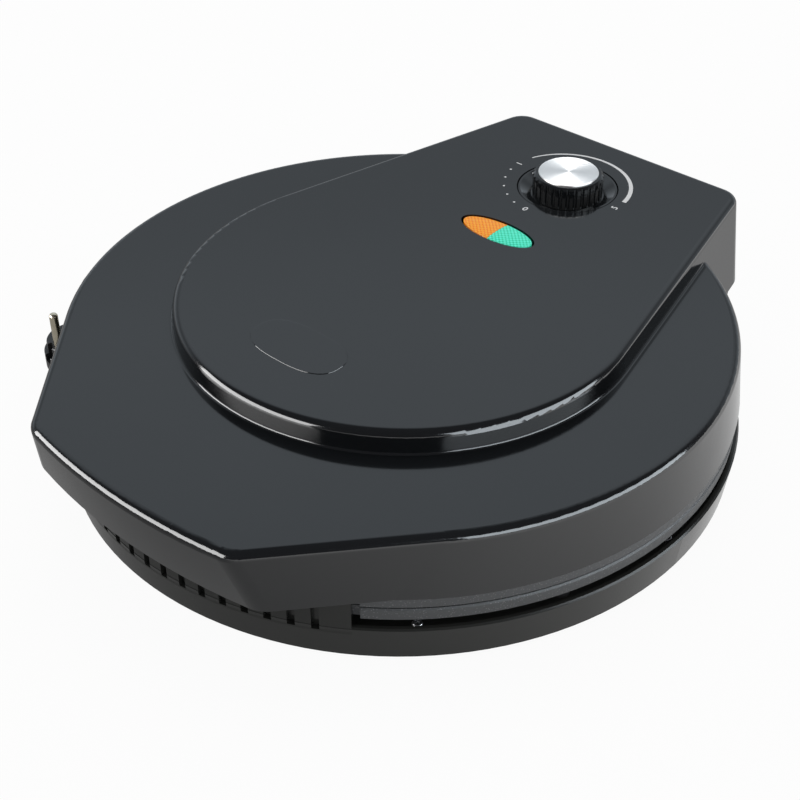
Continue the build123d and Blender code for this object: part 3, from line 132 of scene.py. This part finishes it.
class Shader(Nodes):
    # A material round one Principled BSDF

    def __init__(self, name, **values):
        self.material = bpy.data.materials.new(name)
        super().__init__(self.material)
        self.out = self.add("ShaderNodeOutputMaterial")
        self.bsdf = self.add("ShaderNodeBsdfPrincipled")
        self.link(self.bsdf, "BSDF", self.out, "Surface")
        for socket, value in values.items():
            self.bsdf.inputs[socket.replace("_", " ")].default_value = value
        self.coord = self.add("ShaderNodeTexCoord")
        self.normal = None

    def noise(self, scale, detail=2.0, roughness=0.5):
        node = self.add("ShaderNodeTexNoise")
        node.inputs["Scale"].default_value = scale
        node.inputs["Detail"].default_value = detail
        node.inputs["Roughness"].default_value = roughness
        self.link(self.coord, "Object", node, "Vector")
        return node

    def colours(self, source, out, stops):
        self.link(self.ramp(source, out, stops), "Color", self.bsdf, "Base Color")

    def uneven(self, source, rough, span):
        # Roughness that wanders round its middle value
        made = self.spread(source, "Fac", rough - span, rough + span)
        self.link(made, "Result", self.bsdf, "Roughness")

    def bump(self, source, out, distance, strength=1.0):
        node = self.add("ShaderNodeBump")
        node.inputs["Strength"].default_value = strength
        node.inputs["Distance"].default_value = distance
        self.link(source, out, node, "Height")
        if self.normal is not None:
            self.link(self.normal, "Normal", node, "Normal")
        self.normal = node
        self.link(node, "Normal", self.bsdf, "Normal")


def tones(colour, change):
    # The same colour a little darker and a little lighter
    dark = tuple(c * (1 - change) for c in colour)
    light = tuple(c * (1 + change) for c in colour)
    return [(0.3, dark), (0.7, light)]


def moulded(name, colour, rough, rough_span, wave, grain, change=0.12, **values):
    # Moulded plastic or rubber: long shallow waves, fine grain and a slightly uneven gloss
    s = Shader(name, **values)
    broad = s.noise(9.0, 2.0)
    s.colours(broad, "Fac", tones(colour, change))
    s.uneven(s.noise(38.0, 4.0, 0.6), rough, rough_span)
    if wave:
        s.bump(s.noise(55.0, 1.0), "Fac", wave)
    if grain:
        s.bump(s.noise(2600.0, 2.0), "Fac", grain)
    return s.material


def metal(name, colour, rough, rough_span, scale, change=0.06):
    # Bare metal, a little cloudy
    s = Shader(name, Metallic=1.0)
    cloud = s.noise(scale, 4.0, 0.6)
    s.colours(cloud, "Fac", tones(colour, change))
    s.uneven(cloud, rough, rough_span)
    s.bump(s.noise(scale * 8, 2.0), "Fac", 4e-6)
    return s.material


GLOSS = (0.0075, 0.0086, 0.0098)
BASE_TONE = (0.026, 0.027, 0.0255)
gloss_black = moulded("gloss_black", GLOSS, rough=0.1, rough_span=0.005,
                      wave=2e-6, grain=0.0, IOR=1.5)
gloss_wall = moulded("gloss_wall", GLOSS, rough=0.13, rough_span=0.01,
                     wave=3e-6, grain=3e-7, IOR=1.5)
base_black = moulded("base_black", BASE_TONE, rough=0.17, rough_span=0.012,
                     wave=3e-6, grain=4e-7, IOR=1.5, Specular_IOR_Level=0.2)
matt_black = moulded("matt_black", (0.012, 0.012, 0.013), rough=0.5, rough_span=0.05,
                     wave=0.0, grain=2.5e-6)
rubber = moulded("rubber", (0.011, 0.011, 0.0115), rough=0.46, rough_span=0.06,
                 wave=0.0, grain=3e-6)
ceramic = moulded("ceramic", (0.74, 0.72, 0.66), rough=0.55, rough_span=0.05,
                  wave=0.0, grain=3e-6, change=0.05)
sleeve = moulded("sleeve", (0.7, 0.67, 0.6), rough=0.6, rough_span=0.05,
                 wave=0.0, grain=4e-6, change=0.06)
bright_steel = metal("bright_steel", (0.62, 0.62, 0.63), rough=0.26, rough_span=0.05, scale=420.0)
dark_steel = metal("dark_steel", (0.2, 0.19, 0.185), rough=0.42, rough_span=0.08, scale=260.0)
sheet_steel = metal("sheet_steel", (0.72, 0.72, 0.73), rough=0.24, rough_span=0.06, scale=110.0)
brass = metal("nickel_brass", (0.66, 0.6, 0.47), rough=0.2, rough_span=0.05, scale=350.0)


def make_non_stick():
    # Cast plate with a speckled non-stick coating
    s = Shader("non_stick", Metallic=0.0, IOR=1.45)
    dark, light, speck = (0.046, 0.049, 0.052), (0.066, 0.069, 0.073), (0.16, 0.165, 0.17)
    ground = s.ramp(s.noise(14.0, 3.0), "Fac", [(0.0, dark), (1.0, light)])
    spots = s.add("ShaderNodeTexVoronoi")
    spots.inputs["Scale"].default_value = 900.0
    s.link(s.coord, "Object", spots, "Vector")
    mask = s.spread(spots, "Distance", 1.0, 0.0, from_low=0.12, from_high=0.3)
    mix = s.add("ShaderNodeMix", data_type="RGBA")
    mix.inputs["B"].default_value = (*speck, 1)
    s.link(ground, "Color", mix, "A")
    s.link(mask, "Result", mix, "Factor")
    s.link(mix, "Result", s.bsdf, "Base Color")
    s.uneven(s.noise(400.0), 0.475, 0.075)
    s.bump(s.noise(1300.0, 3.0, 0.6), "Fac", 2.2e-5)
    return s.material


def make_spun(centre):
    # Spun aluminium: fine grooves in circles round the spindle
    s = Shader("spun_aluminium", Metallic=1.0, Anisotropic=0.82,
               Anisotropic_Rotation=0.25)
    tangent = s.add("ShaderNodeTangent", direction_type="RADIAL", axis="Z")
    s.link(tangent, "Tangent", s.bsdf, "Tangent")
    offset = s.add("ShaderNodeVectorMath", operation="SUBTRACT")
    offset.inputs[1].default_value = centre
    s.link(s.coord, "Object", offset, "Vector")
    flat = s.add("ShaderNodeVectorMath", operation="MULTIPLY")
    flat.inputs[1].default_value = (1.0, 1.0, 0.0)
    s.link(offset, "Vector", flat, "Vector")
    length = s.add("ShaderNodeVectorMath", operation="LENGTH")
    s.link(flat, "Vector", length, "Vector")
    rings = s.add("ShaderNodeTexNoise", noise_dimensions="1D")
    rings.inputs["Scale"].default_value = 5200.0
    rings.inputs["Detail"].default_value = 3.0
    s.link(length, "Value", rings, "W")
    s.colours(rings, "Fac", tones((0.95, 0.925, 0.9), 0.04))
    s.uneven(rings, 0.34, 0.06)
    s.bump(rings, "Fac", 3e-6, strength=0.5)
    return s.material


def make_lens(name, colour, painted_shade_and_glow):
    # Coloured clear moulding, with painted shade in the grooves of its diamond relief and a faint
    # painted glow in the same deep colour
    # Painted glow: a faint emission in the deep colour, though no lamp lights the lens
    s = Shader(name, IOR=1.49, Specular_IOR_Level=0.35, Transmission_Weight=0.1,
               Emission_Color=(*painted_shade_and_glow, 1.0), Emission_Strength=0.16)
    axes = s.add("ShaderNodeSeparateXYZ")
    s.link(s.coord, "Object", axes, "Vector")
    place = s.add("ShaderNodeMath", operation="SUBTRACT")
    place.inputs[1].default_value = LAMP_Y
    s.link(axes, "Y", place, 0)
    painted_shade_mask = s.add("ShaderNodeMath", operation="ADD")
    for slot, way in enumerate(("ADD", "SUBTRACT")):
        cross = s.add("ShaderNodeMath", operation=way)
        s.link(axes, "X", cross, 0)
        s.link(place, "Value", cross, 1)
        scaled = s.add("ShaderNodeMath", operation="MULTIPLY")
        scaled.inputs[1].default_value = math.pi / RELIEF_PITCH
        s.link(cross, "Value", scaled, 0)
        wave = s.add("ShaderNodeMath", operation="SINE")
        s.link(scaled, "Value", wave, 0)
        ridge = s.add("ShaderNodeMath", operation="ABSOLUTE")
        s.link(wave, "Value", ridge, 0)
        s.link(ridge, "Value", painted_shade_mask, slot)
    # Painted shade: the colour darkens to the deep colour in the grooves, where the ridges' sum
    # is low
    share = s.spread(painted_shade_mask, "Value", 0.0, 1.0, from_low=0.0, from_high=2.0)
    s.colours(share, "Result", [(0.3, painted_shade_and_glow), (0.85, colour)])
    s.uneven(s.noise(700.0), 0.18, 0.06)
    return s.material


def make_print():
    # Screen-printed ink, slightly uneven
    s = Shader("printed_ink", IOR=1.45)
    s.colours(s.noise(2400.0, 3.0), "Fac", tones((0.8, 0.81, 0.82), 0.06))
    s.uneven(s.noise(900.0), 0.475, 0.075)
    return s.material


non_stick = make_non_stick()
spun = make_spun((0.0, KNOB_Y, 0.0))
# The last colour of each lens is its painted groove shade and the colour of its painted glow
amber = make_lens("amber_clear", (1.0, 0.5, 0.03), (0.86, 0.2, 0.002))
green = make_lens("green_clear", (0.14, 1.0, 0.78), (0.012, 0.62, 0.36))
lamp_glass = make_lens("lamp_glass", (0.8, 0.55, 0.42), (0.7, 0.42, 0.3))
ink = make_print()

LOOKS = {
    "base_shell": base_black, "bottom_cover": matt_black, "rubber_feet": rubber,
    "rim_screws": bright_steel, "lower_plate": non_stick, "upper_plate": non_stick,
    "lower_plate_screws": bright_steel, "upper_plate_screws": bright_steel,
    "lower_heater": dark_steel, "upper_heater": dark_steel,
    "lower_reflector": sheet_steel, "upper_reflector": sheet_steel,
    "lower_reflector_screws": bright_steel, "upper_reflector_screws": bright_steel,
    "hinge_block": matt_black, "hinge_pins": bright_steel,
    "base_connector": ceramic, "lid_connector": ceramic,
    "mains_cores": sleeve, "lower_heater_leads": sleeve, "upper_heater_leads": sleeve,
    "strain_relief": rubber, "plug_body": rubber, "plug_pins": brass,
    "lid_cover": gloss_black, "handle_underside": matt_black,
    "handle_screws": bright_steel, "thermal_fuse": ceramic, "fuse_clip": bright_steel,
    "thermostat": ceramic, "thermostat_bracket": sheet_steel,
    "thermostat_screws": bright_steel, "amber_lens": amber, "green_lens": green,
    "lamp_holder": matt_black, "neon_lamps": lamp_glass,
    "knob": gloss_wall, "knob_cap": spun, "knob_pointer": ink,
    "thermostat_spindle": bright_steel,
    "cord_lead": rubber, "cord_coil": rubber, "cord_tail": rubber,
}
for name, node in NODES.items():
    node.data.materials.clear()
    node.data.materials.append(LOOKS[name])


# Small tools for new pieces
def mesh_piece(name, verts, faces, material, body, slot, smooth=True):
    # A closed piece of its own that rides on a body
    mesh = bpy.data.meshes.new(name)
    mesh.from_pydata([tuple(v) for v in verts], [], faces)
    mesh.validate()
    bm = bmesh.new()
    bm.from_mesh(mesh)
    bmesh.ops.remove_doubles(bm, verts=bm.verts, dist=1e-7)
    bmesh.ops.recalc_face_normals(bm, faces=bm.faces)
    bm.to_mesh(mesh)
    bm.free()
    for polygon in mesh.polygons:
        polygon.use_smooth = smooth
    mesh.materials.append(material)
    obj = bpy.data.objects.new(name, mesh)
    bpy.context.scene.collection.objects.link(obj)
    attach(obj, body)
    return obj


def slab(outline, z0, z1):
    # A thin plate of one closed outline
    n = len(outline)
    verts = [(x, y, z0) for x, y in outline] + [(x, y, z1) for x, y in outline]
    faces = [tuple(reversed(range(n))), tuple(range(n, 2 * n))]
    faces += [(i, (i + 1) % n, n + (i + 1) % n, n + i) for i in range(n)]
    return verts, faces


def band(inner, outer, z0, z1):
    # A thin strip between two open lines with the same number of points
    n = len(inner)
    verts = []
    for line, z in ((inner, z0), (outer, z0), (outer, z1), (inner, z1)):
        verts += [(x, y, z) for x, y in line]
    faces = []
    for k in range(4):
        a, b = k * n, ((k + 1) % 4) * n
        faces += [(a + i, a + i + 1, b + i + 1, b + i) for i in range(n - 1)]
    faces += [(0, n, 2 * n, 3 * n), (n - 1, 4 * n - 1, 3 * n - 1, 2 * n - 1)]
    return verts, faces


def joined(parts):
    # Several closed forms as one list of points and faces
    verts, faces = [], []
    for v, f in parts:
        start = len(verts)
        verts += v
        faces += [tuple(i + start for i in face) for face in f]
    return verts, faces


# Cord: the route's points from the part's source
LEAD = [(-155.25, 112.80, 12.2), (-161.72, 117.50, 12.2), (-168.26, 121.10, 10.5),
        (-173.75, 126.92, 10.5)]
TAIL = [(-156.60, 120.71, 3.3), (-175.59, 120.15, 3.3), (-201.0, 112.0, 3.3),
        (-218.0, 94.0, 3.3), (-227.0, 71.0, 3.3), (-231.5, 45.0, 3.3), (-232.5, 18.0, 3.3),
        (-229.5, -7.0, 3.3), (-222.5, -28.5, 3.3), (-201.92, -42.07, 4.75),
        (-190.11, -54.30, 4.75)]
CORD_Z = 3.3
COIL_CENTRE = (-150.0, 160.0)
COIL_R = 40.0
COIL_PITCH = 7.2
COIL_START_DEG = 225.0
UPPER_TURNS = 2.0
CHANGE_TURNS = 0.5
COIL_TURNS = 3.875
POINTS_PER_TURN = 16


def coil_point(t):
    # Clockwise from above: inwards in the upper layer, then outwards in the lower one
    a = math.radians(COIL_START_DEG) - 2 * math.pi * t
    r = COIL_R - COIL_PITCH * (UPPER_TURNS - abs(t - UPPER_TURNS))
    r /= math.cos(math.pi / POINTS_PER_TURN)
    share = min(max((t - UPPER_TURNS) / CHANGE_TURNS + 0.5, 0.0), 1.0)
    z = CORD_Z + COIL_PITCH * (1 - share * share * (3 - 2 * share))
    return (COIL_CENTRE[0] + r * math.cos(a), COIL_CENTRE[1] + r * math.sin(a), z)


def cord_line(name):
    # Lead, coil and tail as one line in metres
    steps = round(COIL_TURNS * POINTS_PER_TURN)
    coil = [coil_point(COIL_TURNS * i / steps) for i in range(1, steps)]
    points = LEAD + coil + TAIL
    curve = bpy.data.curves.new(name, "CURVE")
    curve.dimensions = "3D"
    spline = curve.splines.new("NURBS")
    spline.points.add(len(points) - 1)
    for target, (x, y, z) in zip(spline.points, points):
        target.co = (x / 1000, y / 1000 + SHIFT_Y, z / 1000, 1.0)
    spline.order_u = 3
    spline.use_endpoint_u = True
    spline.resolution_u = 6
    curve.bevel_depth = CORD_D / 2
    curve.bevel_resolution = 4
    curve.use_fill_caps = True
    obj = bpy.data.objects.new(name, curve)
    bpy.context.scene.collection.objects.link(obj)
    curve.materials.append(rubber)
    return obj


mains_cord = cord_line("mains_cord")
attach(mains_cord, "base")
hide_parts("cord_lead", "cord_coil", "cord_tail")


# Scale printed round the knob. Dots and numbers have their places in mm from the knob's axis
SINK = 2e-5
INK_LOW = HOUSING_TOP_Z - SINK
INK_HIGH = HOUSING_TOP_Z + 5e-5
DOTS = [(-11.8, -31.5), (-19.8, -27.3), (-26.8, -21.2), (-32.2, -13.2), (-35.3, -4.4)]
DOT_R = 0.00062
ARC_START_DEG = 159.5
ARC_END_DEG = 7.5
ARC_R = 0.0346
ARC_X, ARC_Y = -0.0021, KNOB_Y + 0.0018
ARC_HALF_START = 0.0004
ARC_HALF_END = 0.0012
NUMBER_SIZE = 0.0052
NUMBER_GROW = 0.00008


def disc(x, y, radius, count=20):
    # A round spot of ink
    ring = [2 * math.pi * i / count for i in range(count)]
    outline = [(x + radius * math.cos(a), y + radius * math.sin(a)) for a in ring]
    return slab(outline, INK_LOW, INK_HIGH)


dots = joined([disc(x / 1000, KNOB_Y + y / 1000, DOT_R) for x, y in DOTS])
mesh_piece("scale_dots", *dots, ink, "lid", "white_paint", smooth=False)


def arc_lines(count=96):
    # The two edges of an arc that widens to its end
    inner, outer = [], []
    for i in range(count + 1):
        share = i / count
        a = math.radians(ARC_START_DEG + (ARC_END_DEG - ARC_START_DEG) * share)
        half = ARC_HALF_START + (ARC_HALF_END - ARC_HALF_START) * share
        for line, radius in ((inner, ARC_R - half), (outer, ARC_R + half)):
            line.append((ARC_X + radius * math.cos(a), ARC_Y + radius * math.sin(a)))
    return inner, outer


arc = band(*arc_lines(), INK_LOW, INK_HIGH)
mesh_piece("scale_arc", *arc, ink, "lid", "white_paint", smooth=False)


def numeral(name, text, x, y, turn_deg):
    # A plain number as a thin mesh, centred on its place from the knob, in mm
    font = bpy.data.curves.new(name, "FONT")
    font.body = text
    font.size = NUMBER_SIZE
    font.align_x = "CENTER"
    font.align_y = "CENTER"
    font.extrude = (INK_HIGH - INK_LOW) / 2
    font.offset = NUMBER_GROW
    carrier = bpy.data.objects.new(name + "_text", font)
    bpy.context.scene.collection.objects.link(carrier)
    place = Vector((x / 1000, KNOB_Y + y / 1000, (INK_LOW + INK_HIGH) / 2))
    turned = Matrix.Rotation(math.radians(turn_deg), 4, "Z")
    carrier.matrix_world = Matrix.Translation(place) @ turned
    bpy.context.view_layer.update()
    graph = bpy.context.evaluated_depsgraph_get()
    mesh = bpy.data.meshes.new_from_object(carrier.evaluated_get(graph))
    mesh.transform(carrier.matrix_world)
    bpy.data.objects.remove(carrier)
    mesh.name = name
    mesh.materials.clear()
    mesh.materials.append(ink)
    obj = bpy.data.objects.new(name, mesh)
    bpy.context.scene.collection.objects.link(obj)
    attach(obj, "lid")


numeral("scale_number_0", "0", -3.0, -33.5, 0.0)
numeral("scale_number_1", "1", -36.0, 3.8, -90.0)
numeral("scale_number_5", "5", 32.0, -1.6, 90.0)


# Lamp lenses with a fine diamond relief
LENS_HALF_W = 0.02135
LENS_HALF_D = 0.00845
LENS_SPLIT = 0.000125
LENS_END = LENS_HALF_W * 0.9998
LENS_FADE = 0.12
LENS_EDGE_Z = 0.08115
LENS_CROWN = 0.00085
LENS_CROWN_POWER = 0.7
LENS_FOOT_Z = 0.0785


def lens_height(x, y):
    # A low crown with the relief, which fades out at the edge
    share = (x / LENS_HALF_W) ** 2 + (y / LENS_HALF_D) ** 2
    crown = LENS_CROWN * max(1.0 - share, 0.0) ** LENS_CROWN_POWER
    k = math.pi / RELIEF_PITCH
    ridge = abs(math.sin(k * (x + y))) + abs(math.sin(k * (x - y)))
    fade = min(max((1.0 - share) / LENS_FADE, 0.0), 1.0)
    return LENS_EDGE_Z + crown - RELIEF * 0.5 * (2.0 - ridge) * fade


def make_lens_piece(name, sign, material, node):
    # One half of the oval, left for sign -1 and right for sign 1
    columns, rows = 150, 110
    verts, faces = [], []
    for i in range(columns + 1):
        part = math.sin(0.5 * math.pi * i / columns)
        x = LENS_SPLIT + (LENS_END - LENS_SPLIT) * part
        half = LENS_HALF_D * math.sqrt(max(1.0 - (x / LENS_HALF_W) ** 2, 0.0))
        for j in range(rows + 1):
            y = half * (2.0 * j / rows - 1.0)
            verts.append((sign * x, LAMP_Y + y, lens_height(x, y)))
    stride = rows + 1
    for i in range(columns):
        for j in range(rows):
            a = i * stride + j
            faces.append((a, a + stride, a + stride + 1, a + 1))
    rim = list(range(stride))
    rim += [i * stride + rows for i in range(1, columns + 1)]
    rim += [columns * stride + j for j in range(rows - 1, -1, -1)]
    rim += [i * stride for i in range(columns - 1, 0, -1)]
    low = len(verts)
    for index in rim:
        x, y, z = verts[index]
        verts.append((x, y, LENS_FOOT_Z))
    n = len(rim)
    for k in range(n):
        faces.append((rim[k], rim[(k + 1) % n], low + (k + 1) % n, low + k))
    faces.append(tuple(range(low, low + n)))
    obj = mesh_piece(name, verts, faces, material, "lid", node)
    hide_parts(node)


make_lens_piece("amber_lens_ribbed", -1.0, amber, "amber_lens")
make_lens_piece("green_lens_ribbed", 1.0, green, "green_lens")


# Bare raised plate on the housing, a rounded oval
LABEL_X, LABEL_Y = -0.0047, -0.0653 + SHIFT_Y
LABEL_HALF_W, LABEL_HALF_D = 0.0262, 0.0142
LABEL_POWER = 2.6
LABEL_T = 0.00026
LABEL_STEP = 0.00012

# Its outlines from below: the steps that each is drawn in, and its height on the housing
LABEL_LAYERS = [(0, -SINK), (0, LABEL_T * 0.15), (1, LABEL_T * 0.85), (2, LABEL_T)]


def label_outline(grow, count=160):
    # A rounded oval, between an ellipse and a rectangle
    points = []
    half_w, half_d = LABEL_HALF_W + grow, LABEL_HALF_D + grow
    for i in range(count):
        a = 2 * math.pi * i / count
        c, s = math.cos(a), math.sin(a)
        x = math.copysign(abs(c) ** (2 / LABEL_POWER), c)
        y = math.copysign(abs(s) ** (2 / LABEL_POWER), s)
        points.append((LABEL_X + half_w * x, LABEL_Y + half_d * y))
    return points


def ring_stack(layers):
    # A closed skin through outlines at their own heights, capped at both ends
    n = len(layers[0][0])
    verts = [(x, y, z) for outline, z in layers for x, y in outline]
    faces = [tuple(reversed(range(n)))]
    for k in range(len(layers) - 1):
        a, b = k * n, (k + 1) * n
        faces += [(a + i, a + (i + 1) % n, b + (i + 1) % n, b + i) for i in range(n)]
    last = (len(layers) - 1) * n
    faces.append(tuple(range(last, last + n)))
    return verts, faces


label_skin = ring_stack([(label_outline(-steps * LABEL_STEP), HOUSING_TOP_Z + height)
                         for steps, height in LABEL_LAYERS])
label_black = moulded("label_black", GLOSS, rough=0.085, rough_span=0.005,
                      wave=0.0, grain=1e-7, IOR=1.5)
mesh_piece("bare_label_plate", *label_skin, label_black, "lid", "black_gloss_plastic",
           smooth=False)


# Floor, world and lamps
FLOOR_REACH = 6.0
FLOOR_DROP = 2e-4
FLOOR_GLOW = 0.95
FLOOR_TONE = 0.86

# Brightness of the floor in gloss, from the left X to the right X
MIRRORED_LEFT = 0.34
MIRRORED_RIGHT = 2.0
MIRRORED_LEFT_X = -0.05
MIRRORED_RIGHT_X = 0.5

# World: its strength in diffuse light, then its tones in gloss. The camera's side is dark, and
# the walls behind the object have a tone for each height of the ray. The cosines of the ray
# to the camera's side say where the walls begin and where they are full
DIFFUSE_WORLD = 0.55
DARK_SIDE = (0.12, 0.12, 0.132)
WALL_TONES = [(0.0, 0.8), (0.42, 0.42), (0.5, 0.58), (0.56, 0.8), (0.64, 0.92),
              (0.78, 0.98), (0.93, 0.15)]
WALL_TINT = (0.9, 1.0, 1.09)
WALLS_FROM_COS = -0.2
WALLS_FULL_COS = -0.55


def make_floor():
    # White to the camera, with the object's shadow; in gloss it is dimmer towards the left
    mesh = bpy.data.meshes.new("floor")
    corners = [(-1, -1), (1, -1), (1, 1), (-1, 1)]
    mesh.from_pydata([(x * FLOOR_REACH, y * FLOOR_REACH, -FLOOR_DROP) for x, y in corners],
                     [], [(0, 1, 2, 3)])
    material = bpy.data.materials.new("white_floor")
    nodes = Nodes(material)
    out = nodes.add("ShaderNodeOutputMaterial")
    plain = nodes.add("ShaderNodeBsdfDiffuse")
    plain.inputs["Color"].default_value = (FLOOR_TONE, FLOOR_TONE, FLOOR_TONE, 1)
    glow = nodes.add("ShaderNodeEmission")
    mirrored = nodes.add("ShaderNodeEmission")
    place = nodes.add("ShaderNodeTexCoord")
    axes = nodes.add("ShaderNodeSeparateXYZ")
    nodes.link(place, "Object", axes, "Vector")
    across = nodes.spread(axes, "X", MIRRORED_LEFT, MIRRORED_RIGHT,
                          MIRRORED_LEFT_X, MIRRORED_RIGHT_X, interpolation_type="SMOOTHSTEP")
    nodes.link(across, "Result", mirrored, "Strength")
    rays = nodes.add("ShaderNodeLightPath")
    seen = nodes.either(rays, "Is Camera Ray", "Is Transmission Ray")
    share = nodes.add("ShaderNodeMath", operation="MULTIPLY")
    share.inputs[1].default_value = FLOOR_GLOW
    nodes.link(seen, "Value", share, 0)
    direct = nodes.blend(share, "Value", plain, "BSDF", glow, "Emission")
    whole = nodes.blend(rays, "Is Glossy Ray", direct, "Shader", mirrored, "Emission")
    nodes.link(whole, "Shader", out, "Surface")
    mesh.materials.append(material)
    obj = bpy.data.objects.new("floor", mesh)
    bpy.context.scene.collection.objects.link(obj)


def make_world():
    # White to the camera; in gloss, pale walls behind the object and dark on the camera's side
    world = bpy.data.worlds.new("studio")
    bpy.context.scene.world = world
    nodes = Nodes(world)
    out = nodes.add("ShaderNodeOutputWorld")
    shine = nodes.add("ShaderNodeBackground")
    plain = nodes.add("ShaderNodeBackground")
    plain.inputs["Color"].default_value = (1, 1, 1, 1)
    plain.inputs["Strength"].default_value = DIFFUSE_WORLD
    clear = nodes.add("ShaderNodeBackground")
    clear.inputs["Color"].default_value = (1, 1, 1, 1)
    coord = nodes.add("ShaderNodeTexCoord")
    axes = nodes.add("ShaderNodeSeparateXYZ")
    nodes.link(coord, "Generated", axes, "Vector")
    stops = [(place, tuple(tone * c for c in WALL_TINT)) for place, tone in WALL_TONES]
    height = nodes.ramp(axes, "Z", stops)
    facing = nodes.add("ShaderNodeVectorMath", operation="DOT_PRODUCT")
    facing.inputs[1].default_value = (math.sin(CAMERA_AZ), -math.cos(CAMERA_AZ), 0)
    nodes.link(coord, "Generated", facing, "Vector")
    behind = nodes.spread(facing, "Value", 0.0, 1.0, WALLS_FROM_COS, WALLS_FULL_COS,
                          interpolation_type="SMOOTHSTEP")
    walls = nodes.add("ShaderNodeMix", data_type="RGBA")
    walls.inputs["A"].default_value = (*DARK_SIDE, 1)
    nodes.link(behind, "Result", walls, "Factor")
    nodes.link(height, "Color", walls, "B")
    nodes.link(walls, "Result", shine, "Color")
    rays = nodes.add("ShaderNodeLightPath")
    gloss = nodes.blend(rays, "Is Glossy Ray", plain, "Background", shine, "Background")
    through = nodes.either(rays, "Is Camera Ray", "Is Transmission Ray")
    seen = nodes.blend(through, "Value", gloss, "Shader", clear, "Background")
    nodes.link(seen, "Shader", out, "Surface")


def softbox(name, place, target, size_x, size_y, radiance):
    # A rectangular lamp of the given brightness, turned to the target
    data = bpy.data.lights.new(name, "AREA")
    data.shape = "RECTANGLE"
    data.size = size_x
    data.size_y = size_y
    data.energy = radiance * math.pi * size_x * size_y
    lamp = bpy.data.objects.new(name, data)
    bpy.context.scene.collection.objects.link(lamp)
    lamp.location = place
    aim = Vector(target) - Vector(place)
    lamp.rotation_mode = "QUATERNION"
    lamp.rotation_quaternion = aim.to_track_quat("-Z", "Y")
    lamp.visible_camera = False
    return lamp


def panel(name, az_deg, el_deg, distance, wide, tall, radiance):
    # A softbox that shows only in gloss, at an azimuth from the front towards the right
    a, e = math.radians(az_deg), math.radians(el_deg)
    place = (distance * math.sin(a) * math.cos(e), -distance * math.cos(a) * math.cos(e),
             distance * math.sin(e))
    lamp = softbox(name, place, (0.0, 0.0, 0.06), wide, tall, radiance)
    lamp.visible_diffuse = False
    return lamp


make_floor()
make_world()
overhead = softbox("overhead", place=(-0.4, 0.45, 1.5), target=(0.0, 0.0, 0.05),
                   size_x=1.1, size_y=1.1, radiance=1.6)
overhead.visible_glossy = False

# A lamp for the gloss of the knob and its cap alone
cap_lamp = softbox("cap_lamp", place=(-0.35, 0.45, 1.5), target=(0.0, KNOB_Y, 0.09),
                   size_x=1.1, size_y=1.1, radiance=4.2)
cap_lamp.visible_diffuse = False
knob_only = bpy.data.collections.new("knob_only")
knob_only.objects.link(NODES["knob_cap"])
knob_only.objects.link(NODES["knob"])
cap_lamp.light_linking.receiver_collection = knob_only

# The left panel leaves the base out, the right one is a little blue
left_panel = panel("left_panel", az_deg=-30.0, el_deg=15.0, distance=1.9,
                   wide=2.2, tall=1.05, radiance=12.0)
not_base = bpy.data.collections.new("not_base")
not_base.objects.link(NODES["base_shell"])
not_base.collection_objects[0].light_linking.link_state = "EXCLUDE"
left_panel.light_linking.receiver_collection = not_base
right_panel = panel("right_panel", az_deg=96.0, el_deg=19.0, distance=1.9,
                    wide=2.7, tall=1.0, radiance=9.0)
right_panel.data.color = (0.86, 0.94, 1.0)
